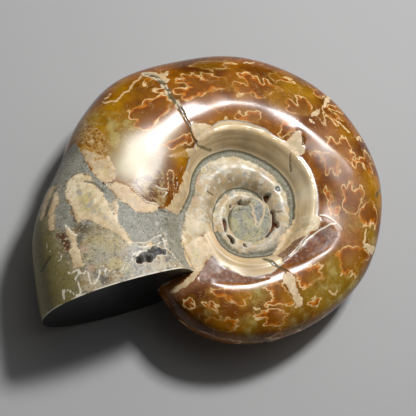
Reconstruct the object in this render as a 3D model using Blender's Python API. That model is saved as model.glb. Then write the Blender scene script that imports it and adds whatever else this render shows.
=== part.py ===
"""Ammonite fossil: a whole coiled shell in stone, sawn flat across the aperture and polished.

The shell lies on its flank on a surface at z = 0, with the coil axis nearly upright. Its surface is
one section swept along a growing spiral. The section keeps its proportions while its size grows by
the same factor each turn, so every whorl sits on the flank of the one before it along a shared line.
Metres, +Z up, origin under the middle of the bounding box.
"""

import math

import bmesh
import bpy
from mathutils import Matrix, Vector

OBJECT_NAME = "Ammonite_Fossil"
MILLIMETRE = 0.001

# Coil, seen from above: the whorl grows counter-clockwise and its keel is the outer edge.
KEEL_RADIUS = 0.0488
GROWTH_PER_RADIAN = 0.1165
APERTURE_ANGLE = math.radians(209.5)
WHORL_RATIO = math.exp(2 * math.pi * GROWTH_PER_RADIAN)

# Burial squeezed the coil: it is oval, and its outline is slightly three-cornered.
OVAL_RATIO = 0.871
OVAL_AXIS = math.radians(61.4)
THREE_CORNERED = 0.0187
CORNER_PHASE = math.radians(29.5)

# Places where the coil swells out (+) or is pressed in (-), as a real one does: direction from the
# coil axis in degrees, distance from it, reach and size in millimetres.
SWELLS = (
    (112, 35, 9, -0.9),
    (138, 36.5, 7, 0.7),
    (170, 39, 7, -1.0),
    (192, 42, 7, 0.65),
    (60, 33, 10, 0.5),
    (-20, 28, 9, 0.4),
    (-112, 22, 6, 0.6),
    (171, 14, 3.5, -1.2),
    (131, 13, 3.5, 0.75),
    (105, 13, 4, 0.8),
    (12, 11, 3.5, -0.55),
    (-52, 9, 3, 0.65),
    (30, 5.5, 2, -0.7),
    (-50, 4.2, 2, 0.6),
)

# Half of the whorl section, as fractions of the keel radius: (distance from the axis, height).
# It runs from the umbilical seam up the wall to the shoulder, over the flank and down to the keel.
SEAM = 0.350
OVERLAP_HEIGHT = 0.2045
SECTION = (
    (SEAM, OVERLAP_HEIGHT / WHORL_RATIO),
    (0.378, 0.160),
    (0.430, 0.196),
    (0.550, 0.210),
    (SEAM * WHORL_RATIO, OVERLAP_HEIGHT),
    (0.830, 0.182),
    (0.920, 0.140),
    (0.975, 0.086),
    (1.000, 0.000),
)
OVERLAP_SPAN = 4
ROWS_PER_SPAN = (2, 2, 1, 1, 1, 2, 1, 2)

# The saw cut: an upright plane through the keel's end, its heading measured from +X. Every row of
# the section meets it within the search range of the aperture's angle, and the grid's columns slant
# towards it over the blend.
CUT_HEADING = math.radians(21.55)
CUT_SEARCH = (-0.2, 0.9)
CUT_BLEND = 1.0

COLUMNS_PER_TURN = 72
TURNS = 3.4
CENTRE_PIT = 0.0004

# Lying on its lower flank, the shell leans away from its thick aperture side.
REST_LEAN = math.radians(3.87)
REST_LEAN_HEADING = math.radians(26.0)

SHELL_COLOUR = (0.33, 0.13, 0.035, 1.0)
SHELL_ROUGHNESS = 0.18


def section_rows():
    """Returns the half section as (distance, height) rows and the row on which the next whorl sits."""
    x, z = SECTION[-2]
    ends = [_mirrored(SECTION[1], SECTION[0]), *SECTION, Vector((x, -z))]
    points = [Vector(end) for end in ends]
    rows = []
    overlap_row = 0
    for span, count in enumerate(ROWS_PER_SPAN):
        if span == OVERLAP_SPAN:
            overlap_row = len(rows)
        for step in range(count):
            rows.append(_curve_point(points[span:span + 4], step / count))
    rows.append(Vector(SECTION[-1]))
    return rows, overlap_row


def _mirrored(point, centre):
    return (2 * centre[0] - point[0], 2 * centre[1] - point[1])


def _curve_point(four, t):
    """Returns the point at t, from 0 to 1, between the middle two of four points on a smooth curve."""
    before, start, end, after = four
    leave = (end - before) * _share(start - before, end - start)
    arrive = (after - start) * _share(after - end, end - start)
    t2 = t * t
    t3 = t2 * t
    return (
        start * (2 * t3 - 3 * t2 + 1)
        + end * (3 * t2 - 2 * t3)
        + leave * (t3 - 2 * t2 + t)
        + arrive * (t3 - t2)
    )


def _share(other, span):
    return span.length / (other.length + span.length)


def shell_point(angle, row, side=1):
    """Returns the point of the shell at an angle along the coil and a row of the section."""
    growth = GROWTH_PER_RADIAN * (angle - APERTURE_ANGLE)
    corners = THREE_CORNERED * math.cos(3 * angle - CORNER_PHASE)
    radius = KEEL_RADIUS * math.exp(growth + corners)
    flat = Vector((math.cos(angle), math.sin(angle))) * row.x * radius
    long_axis = Vector((math.cos(OVAL_AXIS), math.sin(OVAL_AXIS)))
    along = long_axis * flat.dot(long_axis)
    flat = along + (flat - along) * OVAL_RATIO
    flat += flat.normalized() * swelling(flat)
    return Vector((flat.x, flat.y, side * row.y * radius))


def swelling(flat):
    """Returns how far a point seen from above is pushed away from the coil axis."""
    push = 0.0
    for direction, distance, reach, size in SWELLS:
        turn = math.radians(direction)
        centre = Vector((math.cos(turn), math.sin(turn))) * distance * MILLIMETRE
        push += size * MILLIMETRE * math.exp(-((flat - centre).length / (reach * MILLIMETRE)) ** 2)
    return push


def cut_lean(row, angle):
    """Returns how far past an angle a row of the section meets the saw cut."""
    start, end = (angle + limit for limit in CUT_SEARCH)
    edge = shell_point(APERTURE_ANGLE, Vector(SECTION[-1]))
    across = Vector((-math.sin(CUT_HEADING), math.cos(CUT_HEADING), 0))
    sign = (shell_point(start, row) - edge).dot(across) > 0
    for _ in range(50):
        middle = (start + end) / 2
        if ((shell_point(middle, row) - edge).dot(across) > 0) == sign:
            start = middle
        else:
            end = middle
    return (start + end) / 2 - angle


class Coil:
    """The grid of the shell's surface: columns along the coil, rows from the seam to the keel."""

    def __init__(self):
        self.rows, self.overlap = section_rows()
        self.keel = len(self.rows) - 1
        self.last = round(TURNS * COLUMNS_PER_TURN)
        self.outer = self.last - COLUMNS_PER_TURN
        self.lean = [cut_lean(row, APERTURE_ANGLE) for row in self.rows]
        a_turn_back = APERTURE_ANGLE - 2 * math.pi
        self.inner_lean = [cut_lean(row, a_turn_back) for row in self.rows[self.overlap:]]
        self.mesh = bmesh.new()
        self.verts = {}

    def angle(self, column, row):
        """Returns a vertex's angle. Near the saw cut the columns slant to lie along it."""
        plain = APERTURE_ANGLE - (self.last - column) * 2 * math.pi / COLUMNS_PER_TURN
        near_end = 1 - (APERTURE_ANGLE - plain) / CUT_BLEND
        if near_end > 0:
            return plain + _smooth(near_end) * self.lean[row]
        near_start = 1 - abs(APERTURE_ANGLE - 2 * math.pi - plain) / CUT_BLEND
        if near_start <= 0:
            return plain
        if row >= self.overlap:
            lean = self.inner_lean[row - self.overlap]
        else:
            lean = self.inner_lean[0] * (row / self.overlap) ** 2
        return plain + _smooth(near_start) * lean

    def vert(self, column, row, side):
        """Returns a vertex. A whorl's seam is the overlap row of the whorl before it."""
        if row == 0 and column >= COLUMNS_PER_TURN:
            column, row = column - COLUMNS_PER_TURN, self.overlap
        if row == self.keel:
            side = 1
        key = (column, row, side)
        if key not in self.verts:
            point = shell_point(self.angle(column, row), self.rows[row], side)
            self.verts[key] = self.mesh.verts.new(point)
        return self.verts[key]

    def face(self, verts, side):
        """Adds a face that is counter-clockwise seen from above, or its mirror image below."""
        self.mesh.faces.new(verts if side > 0 else verts[::-1])

    def add_flank(self, side):
        """Adds the whorls of one side. A whorl shows its whole flank only on the last turn."""
        for column in range(self.last):
            top = self.keel if column >= self.outer else self.overlap
            for row in range(top):
                corners = ((column, row), (column, row + 1), (column + 1, row + 1), (column + 1, row))
                self.face([self.vert(*corner, side) for corner in corners], side)

    def add_centre(self, side):
        """Closes the middle of the umbilicus with a fan round a sunken point."""
        start = self.vert(0, 0, side).co.z
        pit = self.mesh.verts.new((0, 0, start - side * CENTRE_PIT))
        rim = [self.vert(column, 0, side) for column in range(COLUMNS_PER_TURN + 1)]
        rim += [self.vert(0, row, side) for row in range(self.overlap - 1, -1, -1)]
        for first, second in zip(rim, rim[1:]):
            self.face([pit, first, second], side)

    def add_cut_face(self):
        """Closes the sawn aperture: the last section, less the whorl before it."""
        up = range(self.keel + 1)
        inner = range(self.overlap + 1, self.keel + 1)
        outline = [self.vert(self.last, row, 1) for row in up]
        outline += [self.vert(self.last, row, -1) for row in reversed(up[:-1])]
        outline += [self.vert(self.outer, row, -1) for row in inner]
        outline += [self.vert(self.outer, row, 1) for row in reversed(inner[:-1])]
        face = self.mesh.faces.new(outline)
        bmesh.ops.triangulate(self.mesh, faces=[face], ngon_method="EAR_CLIP")


def _smooth(t):
    t = min(max(t, 0.0), 1.0)
    return t * t * (3 - 2 * t)


def stone_material(name, colour, roughness):
    """Returns a plain material in the colour of the polished fossil."""
    material = bpy.data.materials.new(name)
    material.use_nodes = True
    shader = material.node_tree.nodes["Principled BSDF"]
    shader.inputs["Base Color"].default_value = colour
    shader.inputs["Roughness"].default_value = roughness
    shader.inputs["Metallic"].default_value = 0.0
    return material


def lay_down(mesh):
    """Leans the shell onto its lower flank and sets it down on z = 0, centred on the origin."""
    axis = Vector((-math.sin(REST_LEAN_HEADING), math.cos(REST_LEAN_HEADING), 0))
    bmesh.ops.transform(mesh, matrix=Matrix.Rotation(REST_LEAN, 4, axis), verts=mesh.verts)
    low = Vector([min(vert.co[i] for vert in mesh.verts) for i in range(3)])
    high = Vector([max(vert.co[i] for vert in mesh.verts) for i in range(3)])
    middle = (low + high) / 2
    bmesh.ops.translate(mesh, vec=(-middle.x, -middle.y, -low.z), verts=mesh.verts)


def build_shell(collection):
    """Models the fossil as one solid and links it to the collection."""
    coil = Coil()
    for side in (1, -1):
        coil.add_flank(side)
        coil.add_centre(side)
    coil.add_cut_face()
    lay_down(coil.mesh)
    data = bpy.data.meshes.new("shell")
    coil.mesh.to_mesh(data)
    coil.mesh.free()
    shell = bpy.data.objects.new("shell", data)
    collection.objects.link(shell)
    data.shade_smooth()
    data.set_sharp_from_angle(angle=math.radians(40))
    data.materials.append(stone_material("polished_shell", SHELL_COLOUR, SHELL_ROUGHNESS))
    return shell


def main():
    for old in list(bpy.data.objects):
        bpy.data.objects.remove(old, do_unlink=True)
    collection = bpy.data.collections.new(OBJECT_NAME)
    bpy.context.scene.collection.children.link(collection)
    build_shell(collection)


main()
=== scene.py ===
"""Polished ammonite fossil: a coiled shell in amber calcite, nacre and grey matrix.

The shell lies on its flank. Its surface is one section swept along a growing spiral, worked over
with the relief of a real one: seams filled with matrix, open chambers, cracks and flaked nacre.
"""

import logging
import math
from dataclasses import dataclass, field
from enum import Enum

import bpy
import numpy as np
from mathutils import Matrix, Vector


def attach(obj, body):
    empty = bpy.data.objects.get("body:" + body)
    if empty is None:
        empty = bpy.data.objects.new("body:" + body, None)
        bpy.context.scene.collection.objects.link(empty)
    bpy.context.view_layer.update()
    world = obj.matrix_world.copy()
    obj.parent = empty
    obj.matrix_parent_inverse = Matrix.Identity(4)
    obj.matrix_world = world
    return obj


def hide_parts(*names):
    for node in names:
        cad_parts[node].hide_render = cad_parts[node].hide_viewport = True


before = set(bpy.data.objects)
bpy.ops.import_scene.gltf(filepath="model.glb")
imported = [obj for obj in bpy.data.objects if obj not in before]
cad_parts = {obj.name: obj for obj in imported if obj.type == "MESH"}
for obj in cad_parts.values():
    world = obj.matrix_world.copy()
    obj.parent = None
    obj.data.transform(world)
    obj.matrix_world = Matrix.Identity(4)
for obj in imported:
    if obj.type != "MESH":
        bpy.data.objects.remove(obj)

MM = 0.001
GROWTH_PER_RADIAN = 0.1165
FULL_TURN = 2 * math.pi
LOG = logging.getLogger("ammonite")

Points = tuple[tuple[float, float], ...]


def smooth(t: np.ndarray) -> np.ndarray:
    """Eases a value from 0 to 1."""
    t = np.clip(t, 0.0, 1.0)
    return t * t * (3.0 - 2.0 * t)


def window(value: np.ndarray, low: float, rise: float, high: float, fall: float) -> np.ndarray:
    """Eases in from `low` over `rise`, and out again over `fall` up to `high`."""
    return smooth((value - low) / rise) * smooth((high - value) / fall)


def store(mesh: bpy.types.Mesh, name: str, values: np.ndarray) -> None:
    """Writes one number per vertex."""
    layer = mesh.attributes.get(name) or mesh.attributes.new(name, "FLOAT", "POINT")
    layer.data.foreach_set("value", values.astype(np.float32))


def places(mesh: bpy.types.Mesh) -> np.ndarray:
    """Returns the mesh's vertices as rows of three."""
    flat = np.empty(len(mesh.vertices) * 3)
    mesh.vertices.foreach_get("co", flat)
    return flat.reshape(-1, 3)


class Side(Enum):
    """The two flanks of the shell."""

    UPPER = 1
    LOWER = -1


@dataclass(frozen=True)
class WhorlSection:
    """Half of the whorl's section, from the umbilical seam over the flank to the keel.

    Heights and distances are fractions of the keel radius.
    """

    seam: float = 0.350
    overlap_height: float = 0.2066
    whorl_ratio: float = math.exp(FULL_TURN * GROWTH_PER_RADIAN)
    overlap_span: int = 6
    height_share: float = 0.978

    def controls(self) -> np.ndarray:
        """Returns the points that the section passes through, with a mirrored one at each end."""
        through = [
            (self.seam, self.overlap_height / self.whorl_ratio),
            (0.390, 0.143),
            (0.430, 0.178),
            (0.455, 0.1888),
            (0.530, 0.2042),
            (0.620, 0.2122),
            (self.seam * self.whorl_ratio, self.overlap_height),
            (0.830, 0.186),
            (0.920, 0.144),
            (0.975, 0.088),
            (1.000, 0.000),
        ]
        first = (2 * through[0][0] - through[1][0], 2 * through[0][1] - through[1][1])
        last = (through[-2][0], -through[-2][1])
        return np.array([first, *through, last])

    def rows(self, counts: tuple[int, ...]) -> tuple[np.ndarray, int]:
        """Samples the section.

        Args:
            counts: How many rows each span between two points gets.

        Returns:
            The rows as (distance, height), and the row on which the next whorl sits.
        """
        points = self.controls()
        rows = []
        overlap = 0
        for span, count in enumerate(counts):
            if span == self.overlap_span:
                overlap = len(rows)
            for step in range(count):
                rows.append(self._between(points[span:span + 4], step / count))
        rows.append(points[-2])
        return np.array(rows) * (1.0, self.height_share), overlap

    @staticmethod
    def _between(four: np.ndarray, t: float) -> np.ndarray:
        """Draws a smooth curve through four points.

        Args:
            four: The points, of which the middle two are the ends of the span.
            t: How far along the span, from 0 to 1.

        Returns:
            The point on the curve.
        """
        before, start, end, after = four
        span = np.linalg.norm(end - start)
        leave = (end - before) * span / (np.linalg.norm(start - before) + span)
        arrive = (after - start) * span / (np.linalg.norm(after - end) + span)
        return (
            start * (2 * t**3 - 3 * t**2 + 1)
            + end * (3 * t**2 - 2 * t**3)
            + leave * (t**3 - 2 * t**2 + t)
            + arrive * (t**3 - t**2)
        )


@dataclass(frozen=True)
class CoilForm:
    """The spiral that carries the section, in millimetres, with the coil axis upright.

    The swells are places where the coil stands out or is pressed in, as a real one does: direction
    from the coil axis in degrees, distance from it, reach and size.
    """

    keel_radius: float = 48.75
    growth: float = GROWTH_PER_RADIAN
    aperture: float = math.radians(209.5)
    oval_ratio: float = 0.871
    oval_axis: float = math.radians(61.4)
    three_cornered: float = 0.0187
    corner_phase: float = math.radians(29.5)
    cut_heading: float = math.radians(21.55)
    cut_search: tuple[float, float] = (-0.2, 0.9)
    cut_blend: float = 1.0
    cut_halvings: int = 50
    lean: float = math.radians(3.87)
    lean_heading: float = math.radians(26.0)
    swells: tuple[tuple[float, float, float, float], ...] = (
        (112, 35, 9, -0.9), (138, 36.5, 7, 0.7), (170, 39, 7, -1.0), (192, 42, 7, 0.65),
        (60, 33, 10, 0.5), (-20, 28, 9, 0.4), (-112, 22, 6, 0.6), (171, 14, 3.5, -1.2),
        (131, 13, 3.5, 0.75), (105, 13, 4, 0.8), (12, 11, 3.5, -0.55), (-52, 9, 3, 0.65),
        (30, 5.5, 2, -0.7), (-50, 4.2, 2, 0.6),
    )

    def radius(self, angle: np.ndarray) -> np.ndarray:
        """Returns the keel radius at an angle along the coil."""
        corners = self.three_cornered * np.cos(3 * angle - self.corner_phase)
        return self.keel_radius * np.exp(self.growth * (angle - self.aperture) + corners)

    def points(self, angle: np.ndarray, row: np.ndarray) -> np.ndarray:
        """Places points on the upper flank.

        Args:
            angle: Angles along the coil.
            row: For each angle, the (distance, height) of the section.

        Returns:
            The points, as rows of three.
        """
        radius = self.radius(angle)
        flat = np.stack([np.cos(angle), np.sin(angle)], -1) * (row[..., 0] * radius)[..., None]
        long_axis = np.array([math.cos(self.oval_axis), math.sin(self.oval_axis)])
        along = (flat @ long_axis)[..., None] * long_axis
        flat = along + (flat - along) * self.oval_ratio
        length = np.linalg.norm(flat, axis=-1)
        flat = flat * (1 + self.swelling(flat) / np.maximum(length, 1e-9))[..., None]
        return np.concatenate([flat, (row[..., 1] * radius)[..., None]], -1)

    def swelling(self, flat: np.ndarray) -> np.ndarray:
        """Adds up the swells.

        Args:
            flat: Points seen from above.

        Returns:
            How far each point is pushed away from the coil axis.
        """
        push = np.zeros(flat.shape[:-1])
        for direction, distance, reach, size in self.swells:
            turn = math.radians(direction)
            gap = flat - np.array([math.cos(turn), math.sin(turn)]) * distance
            push += size * np.exp(-(gap**2).sum(-1) / reach**2)
        return push

    def cut_lean(self, rows: np.ndarray, angle: float) -> np.ndarray:
        """Searches for the saw cut by halving.

        Args:
            rows: The (distance, height) of each row of the section.
            angle: The angle from which the cut is searched for.

        Returns:
            How far past the angle each row meets the cut.
        """
        edge = self.points(np.array([self.aperture]), np.array([[1.0, 0.0]]))[0]
        across = np.array([-math.sin(self.cut_heading), math.cos(self.cut_heading), 0.0])
        start = np.full(len(rows), angle + self.cut_search[0])
        end = np.full(len(rows), angle + self.cut_search[1])
        sign = (self.points(start, rows) - edge) @ across > 0
        for _ in range(self.cut_halvings):
            middle = (start + end) / 2
            same = ((self.points(middle, rows) - edge) @ across > 0) == sign
            start = np.where(same, middle, start)
            end = np.where(same, end, middle)
        return (start + end) / 2 - angle

    def slanted(self, plain: np.ndarray, rows: np.ndarray, overlap: int) -> np.ndarray:
        """Slants the columns towards the saw cut.

        Args:
            plain: The angle of each column before that.
            rows: The (distance, height) of each row of the section.
            overlap: The row on which the next whorl sits.

        Returns:
            The angle of every column and row.
        """
        turn_back = self.aperture - FULL_TURN
        end = smooth(1 - (self.aperture - plain) / self.cut_blend)
        start = smooth(1 - np.abs(turn_back - plain) / self.cut_blend)
        at_end = self.cut_lean(rows, self.aperture)
        at_start = self.cut_lean(rows, turn_back)
        inner = np.arange(len(rows)) < overlap
        share = np.minimum(np.arange(len(rows)) / overlap, 1.0) ** 2
        at_start = np.where(inner, at_start[overlap] * share, at_start)
        return plain[:, None] + end[:, None] * at_end + start[:, None] * at_start


@dataclass
class Shell:
    """The whole fossil as one closed stone."""

    form: CoilForm = field(default_factory=CoilForm)
    section: WhorlSection = field(default_factory=WhorlSection)
    upper_rows: tuple[int, ...] = (7, 6, 4, 9, 11, 11, 11, 10, 6, 6)
    lower_rows: tuple[int, ...] = (3, 2, 2, 2, 3, 3, 4, 4, 3, 4)
    upper_columns: tuple[int, ...] = (640, 320, 160, 80)
    lower_columns: tuple[int, ...] = (320, 320, 160, 80)
    merge: float = 4e-6
    centre: float = 3.0
    tallest: float = 20.97

    def build(self) -> bpy.types.Object:
        """Models the shell.

        Returns:
            The closed shell, with its place in its mesh.
        """
        plans = (
            (Side.UPPER, self.upper_rows, self.upper_columns),
            (Side.LOWER, self.lower_rows, self.lower_columns),
        )
        sheets = [
            self._sheet(side, counts, back, columns[back:back + 2])
            for side, counts, columns in plans
            for back in range(len(columns))
        ]
        shell = self._join(sheets)
        self._close(shell)
        Relief(self.form, shell.data).apply()
        self._lay_down(shell)
        self._finish(shell)
        return shell

    def _sheet(
        self, side: Side, counts: tuple[int, ...], back: int, columns: tuple[int, ...]
    ) -> bpy.types.Object:
        """Adds a grid and shapes it into one turn of the coil.

        Args:
            side: Which flank it belongs to.
            counts: Rows of each span of the section.
            back: How many turns it lies inside the last one, which alone shows its whole flank.
            columns: Its number of columns, and that of the turn inside it.

        Returns:
            The sheet, with the fields that the relief and the finishes read.
        """
        rows, overlap = self.section.rows(counts)
        last_row = overlap if back else len(rows) - 1
        around = columns[0]
        bpy.ops.mesh.primitive_grid_add(x_subdivisions=around, y_subdivisions=last_row, size=2)
        sheet = bpy.context.object
        mesh = sheet.data
        flat = places(mesh)
        column = np.rint((flat[:, 0] + 1) / 2 * around).astype(int)
        row = np.rint((flat[:, 1] + 1) / 2 * last_row).astype(int)
        coarse = around // columns[-1]
        column = np.where(row == 0, column - column % coarse, column)
        if side is Side.UPPER and not back:
            keel = around // self.lower_columns[0]
            column = np.where(row == last_row, column - column % keel, column)
        end = self.form.aperture - FULL_TURN * back
        plain = end - (1 - np.arange(around + 1) / around) * FULL_TURN
        angle = self.form.slanted(plain, rows, overlap)[column, row]
        place = self.form.points(angle, rows[row])
        place[:, 2] *= side.value
        mesh.vertices.foreach_set("co", (place * MM).ravel())
        arcs = np.concatenate([[0], np.cumsum(np.linalg.norm(np.diff(rows, axis=0), axis=1))])
        reach = arcs[row]
        if back:
            to_next = arcs[overlap] - reach
            reach = np.where(to_next < reach, -to_next, reach)
        store(mesh, "seam", reach * self.form.radius(angle))
        store(mesh, "across", rows[row, 0])
        store(mesh, "turn", (self.form.aperture - angle) / FULL_TURN)
        store(mesh, "side", np.full(len(row), float(side.value)))
        return sheet

    def _join(self, sheets: list[bpy.types.Object]) -> bpy.types.Object:
        """Joins the sheets and merges the rows that they share.

        Args:
            sheets: The turns of both flanks.

        Returns:
            One shell, still open in the middle and at the aperture.
        """
        bpy.ops.object.select_all(action="DESELECT")
        for sheet in sheets:
            sheet.select_set(True)
        bpy.context.view_layer.objects.active = sheets[0]
        bpy.ops.object.join()
        shell = bpy.context.object
        shell.name = "polished_ammonite"
        bpy.ops.object.mode_set(mode="EDIT")
        bpy.ops.mesh.select_all(action="SELECT")
        bpy.ops.mesh.remove_doubles(threshold=self.merge)
        bpy.ops.object.mode_set(mode="OBJECT")
        return shell

    def _close(self, shell: bpy.types.Object) -> None:
        """Closes the middle of both umbilici and the sawn aperture.

        Args:
            shell: The joined shell; the faces of the aperture get the second material.
        """
        for side in (1, -1, 0):
            mesh = shell.data
            ends = np.empty(len(mesh.edges) * 2, dtype=int)
            mesh.edges.foreach_get("vertices", ends)
            middle = places(mesh)[ends.reshape(-1, 2)].mean(1)
            used = np.empty(len(mesh.loops), dtype=int)
            mesh.loops.foreach_get("edge_index", used)
            chosen = np.bincount(used, minlength=len(mesh.edges)) == 1
            if side:
                central = np.hypot(middle[:, 0], middle[:, 1]) < self.centre * MM
                chosen &= central & (middle[:, 2] * side > 0)
            before = len(mesh.polygons)
            bpy.ops.object.mode_set(mode="EDIT")
            bpy.ops.mesh.select_mode(type="EDGE")
            bpy.ops.mesh.select_all(action="DESELECT")
            bpy.ops.object.mode_set(mode="OBJECT")
            shell.data.edges.foreach_set("select", chosen)
            bpy.ops.object.mode_set(mode="EDIT")
            if not side:
                bpy.ops.mesh.mark_sharp()
            bpy.ops.mesh.fill()
            bpy.ops.object.mode_set(mode="OBJECT")
            if not side:
                is_cut = np.arange(len(shell.data.polygons)) >= before
                shell.data.polygons.foreach_set("material_index", is_cut.astype(np.int32))
        bpy.ops.object.mode_set(mode="EDIT")
        bpy.ops.mesh.select_all(action="SELECT")
        bpy.ops.mesh.normals_make_consistent(inside=False)
        bpy.ops.object.mode_set(mode="OBJECT")

    def _lay_down(self, shell: bpy.types.Object) -> None:
        """Leans the shell onto its lower flank and sets it down, centred on the origin.

        Args:
            shell: The closed shell; no point of it ends above the tallest height.
        """
        heading = self.form.lean_heading
        axis = Vector((-math.sin(heading), math.cos(heading), 0))
        shell.data.transform(Matrix.Rotation(self.form.lean, 4, axis))
        flat = places(shell.data)
        low = flat.min(0)
        flat[:, 2] = np.minimum(flat[:, 2], low[2] + self.tallest * MM)
        shell.data.vertices.foreach_set("co", flat.ravel())
        high = flat.max(0)
        middle = (low + high) / 2
        shell.data.transform(Matrix.Translation((-middle[0], -middle[1], -low[2])))
        LOG.info("shell: %d vertices, size %s mm", len(flat), np.round((high - low) / MM, 2))

    def _finish(self, shell: bpy.types.Object) -> None:
        """Smooths the shading and gives the skin and the sawn face their materials.

        Args:
            shell: The shell, laid down.
        """
        bpy.ops.object.select_all(action="DESELECT")
        shell.select_set(True)
        bpy.context.view_layer.objects.active = shell
        bpy.ops.object.shade_smooth(keep_sharp_edges=True)
        for finish in (PolishedSkin(), SawnFace()):
            shell.data.materials.append(finish.build())


@dataclass(frozen=True)
class Stroke:
    """A line on the flank that tapers from one half width to another, in millimetres."""

    points: Points
    start: float = 0.12
    end: float = 0.12


@dataclass(frozen=True)
class Patch:
    """A soft round patch of a tint: its middle, how far it reaches, and its strength."""

    x: float
    y: float
    reach: float
    strength: float = 1.0


def patches(*rows: tuple[float, ...]) -> tuple[Patch, ...]:
    """Makes a patch of each row of middle, reach and strength."""
    return tuple(Patch(*row) for row in rows)


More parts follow.
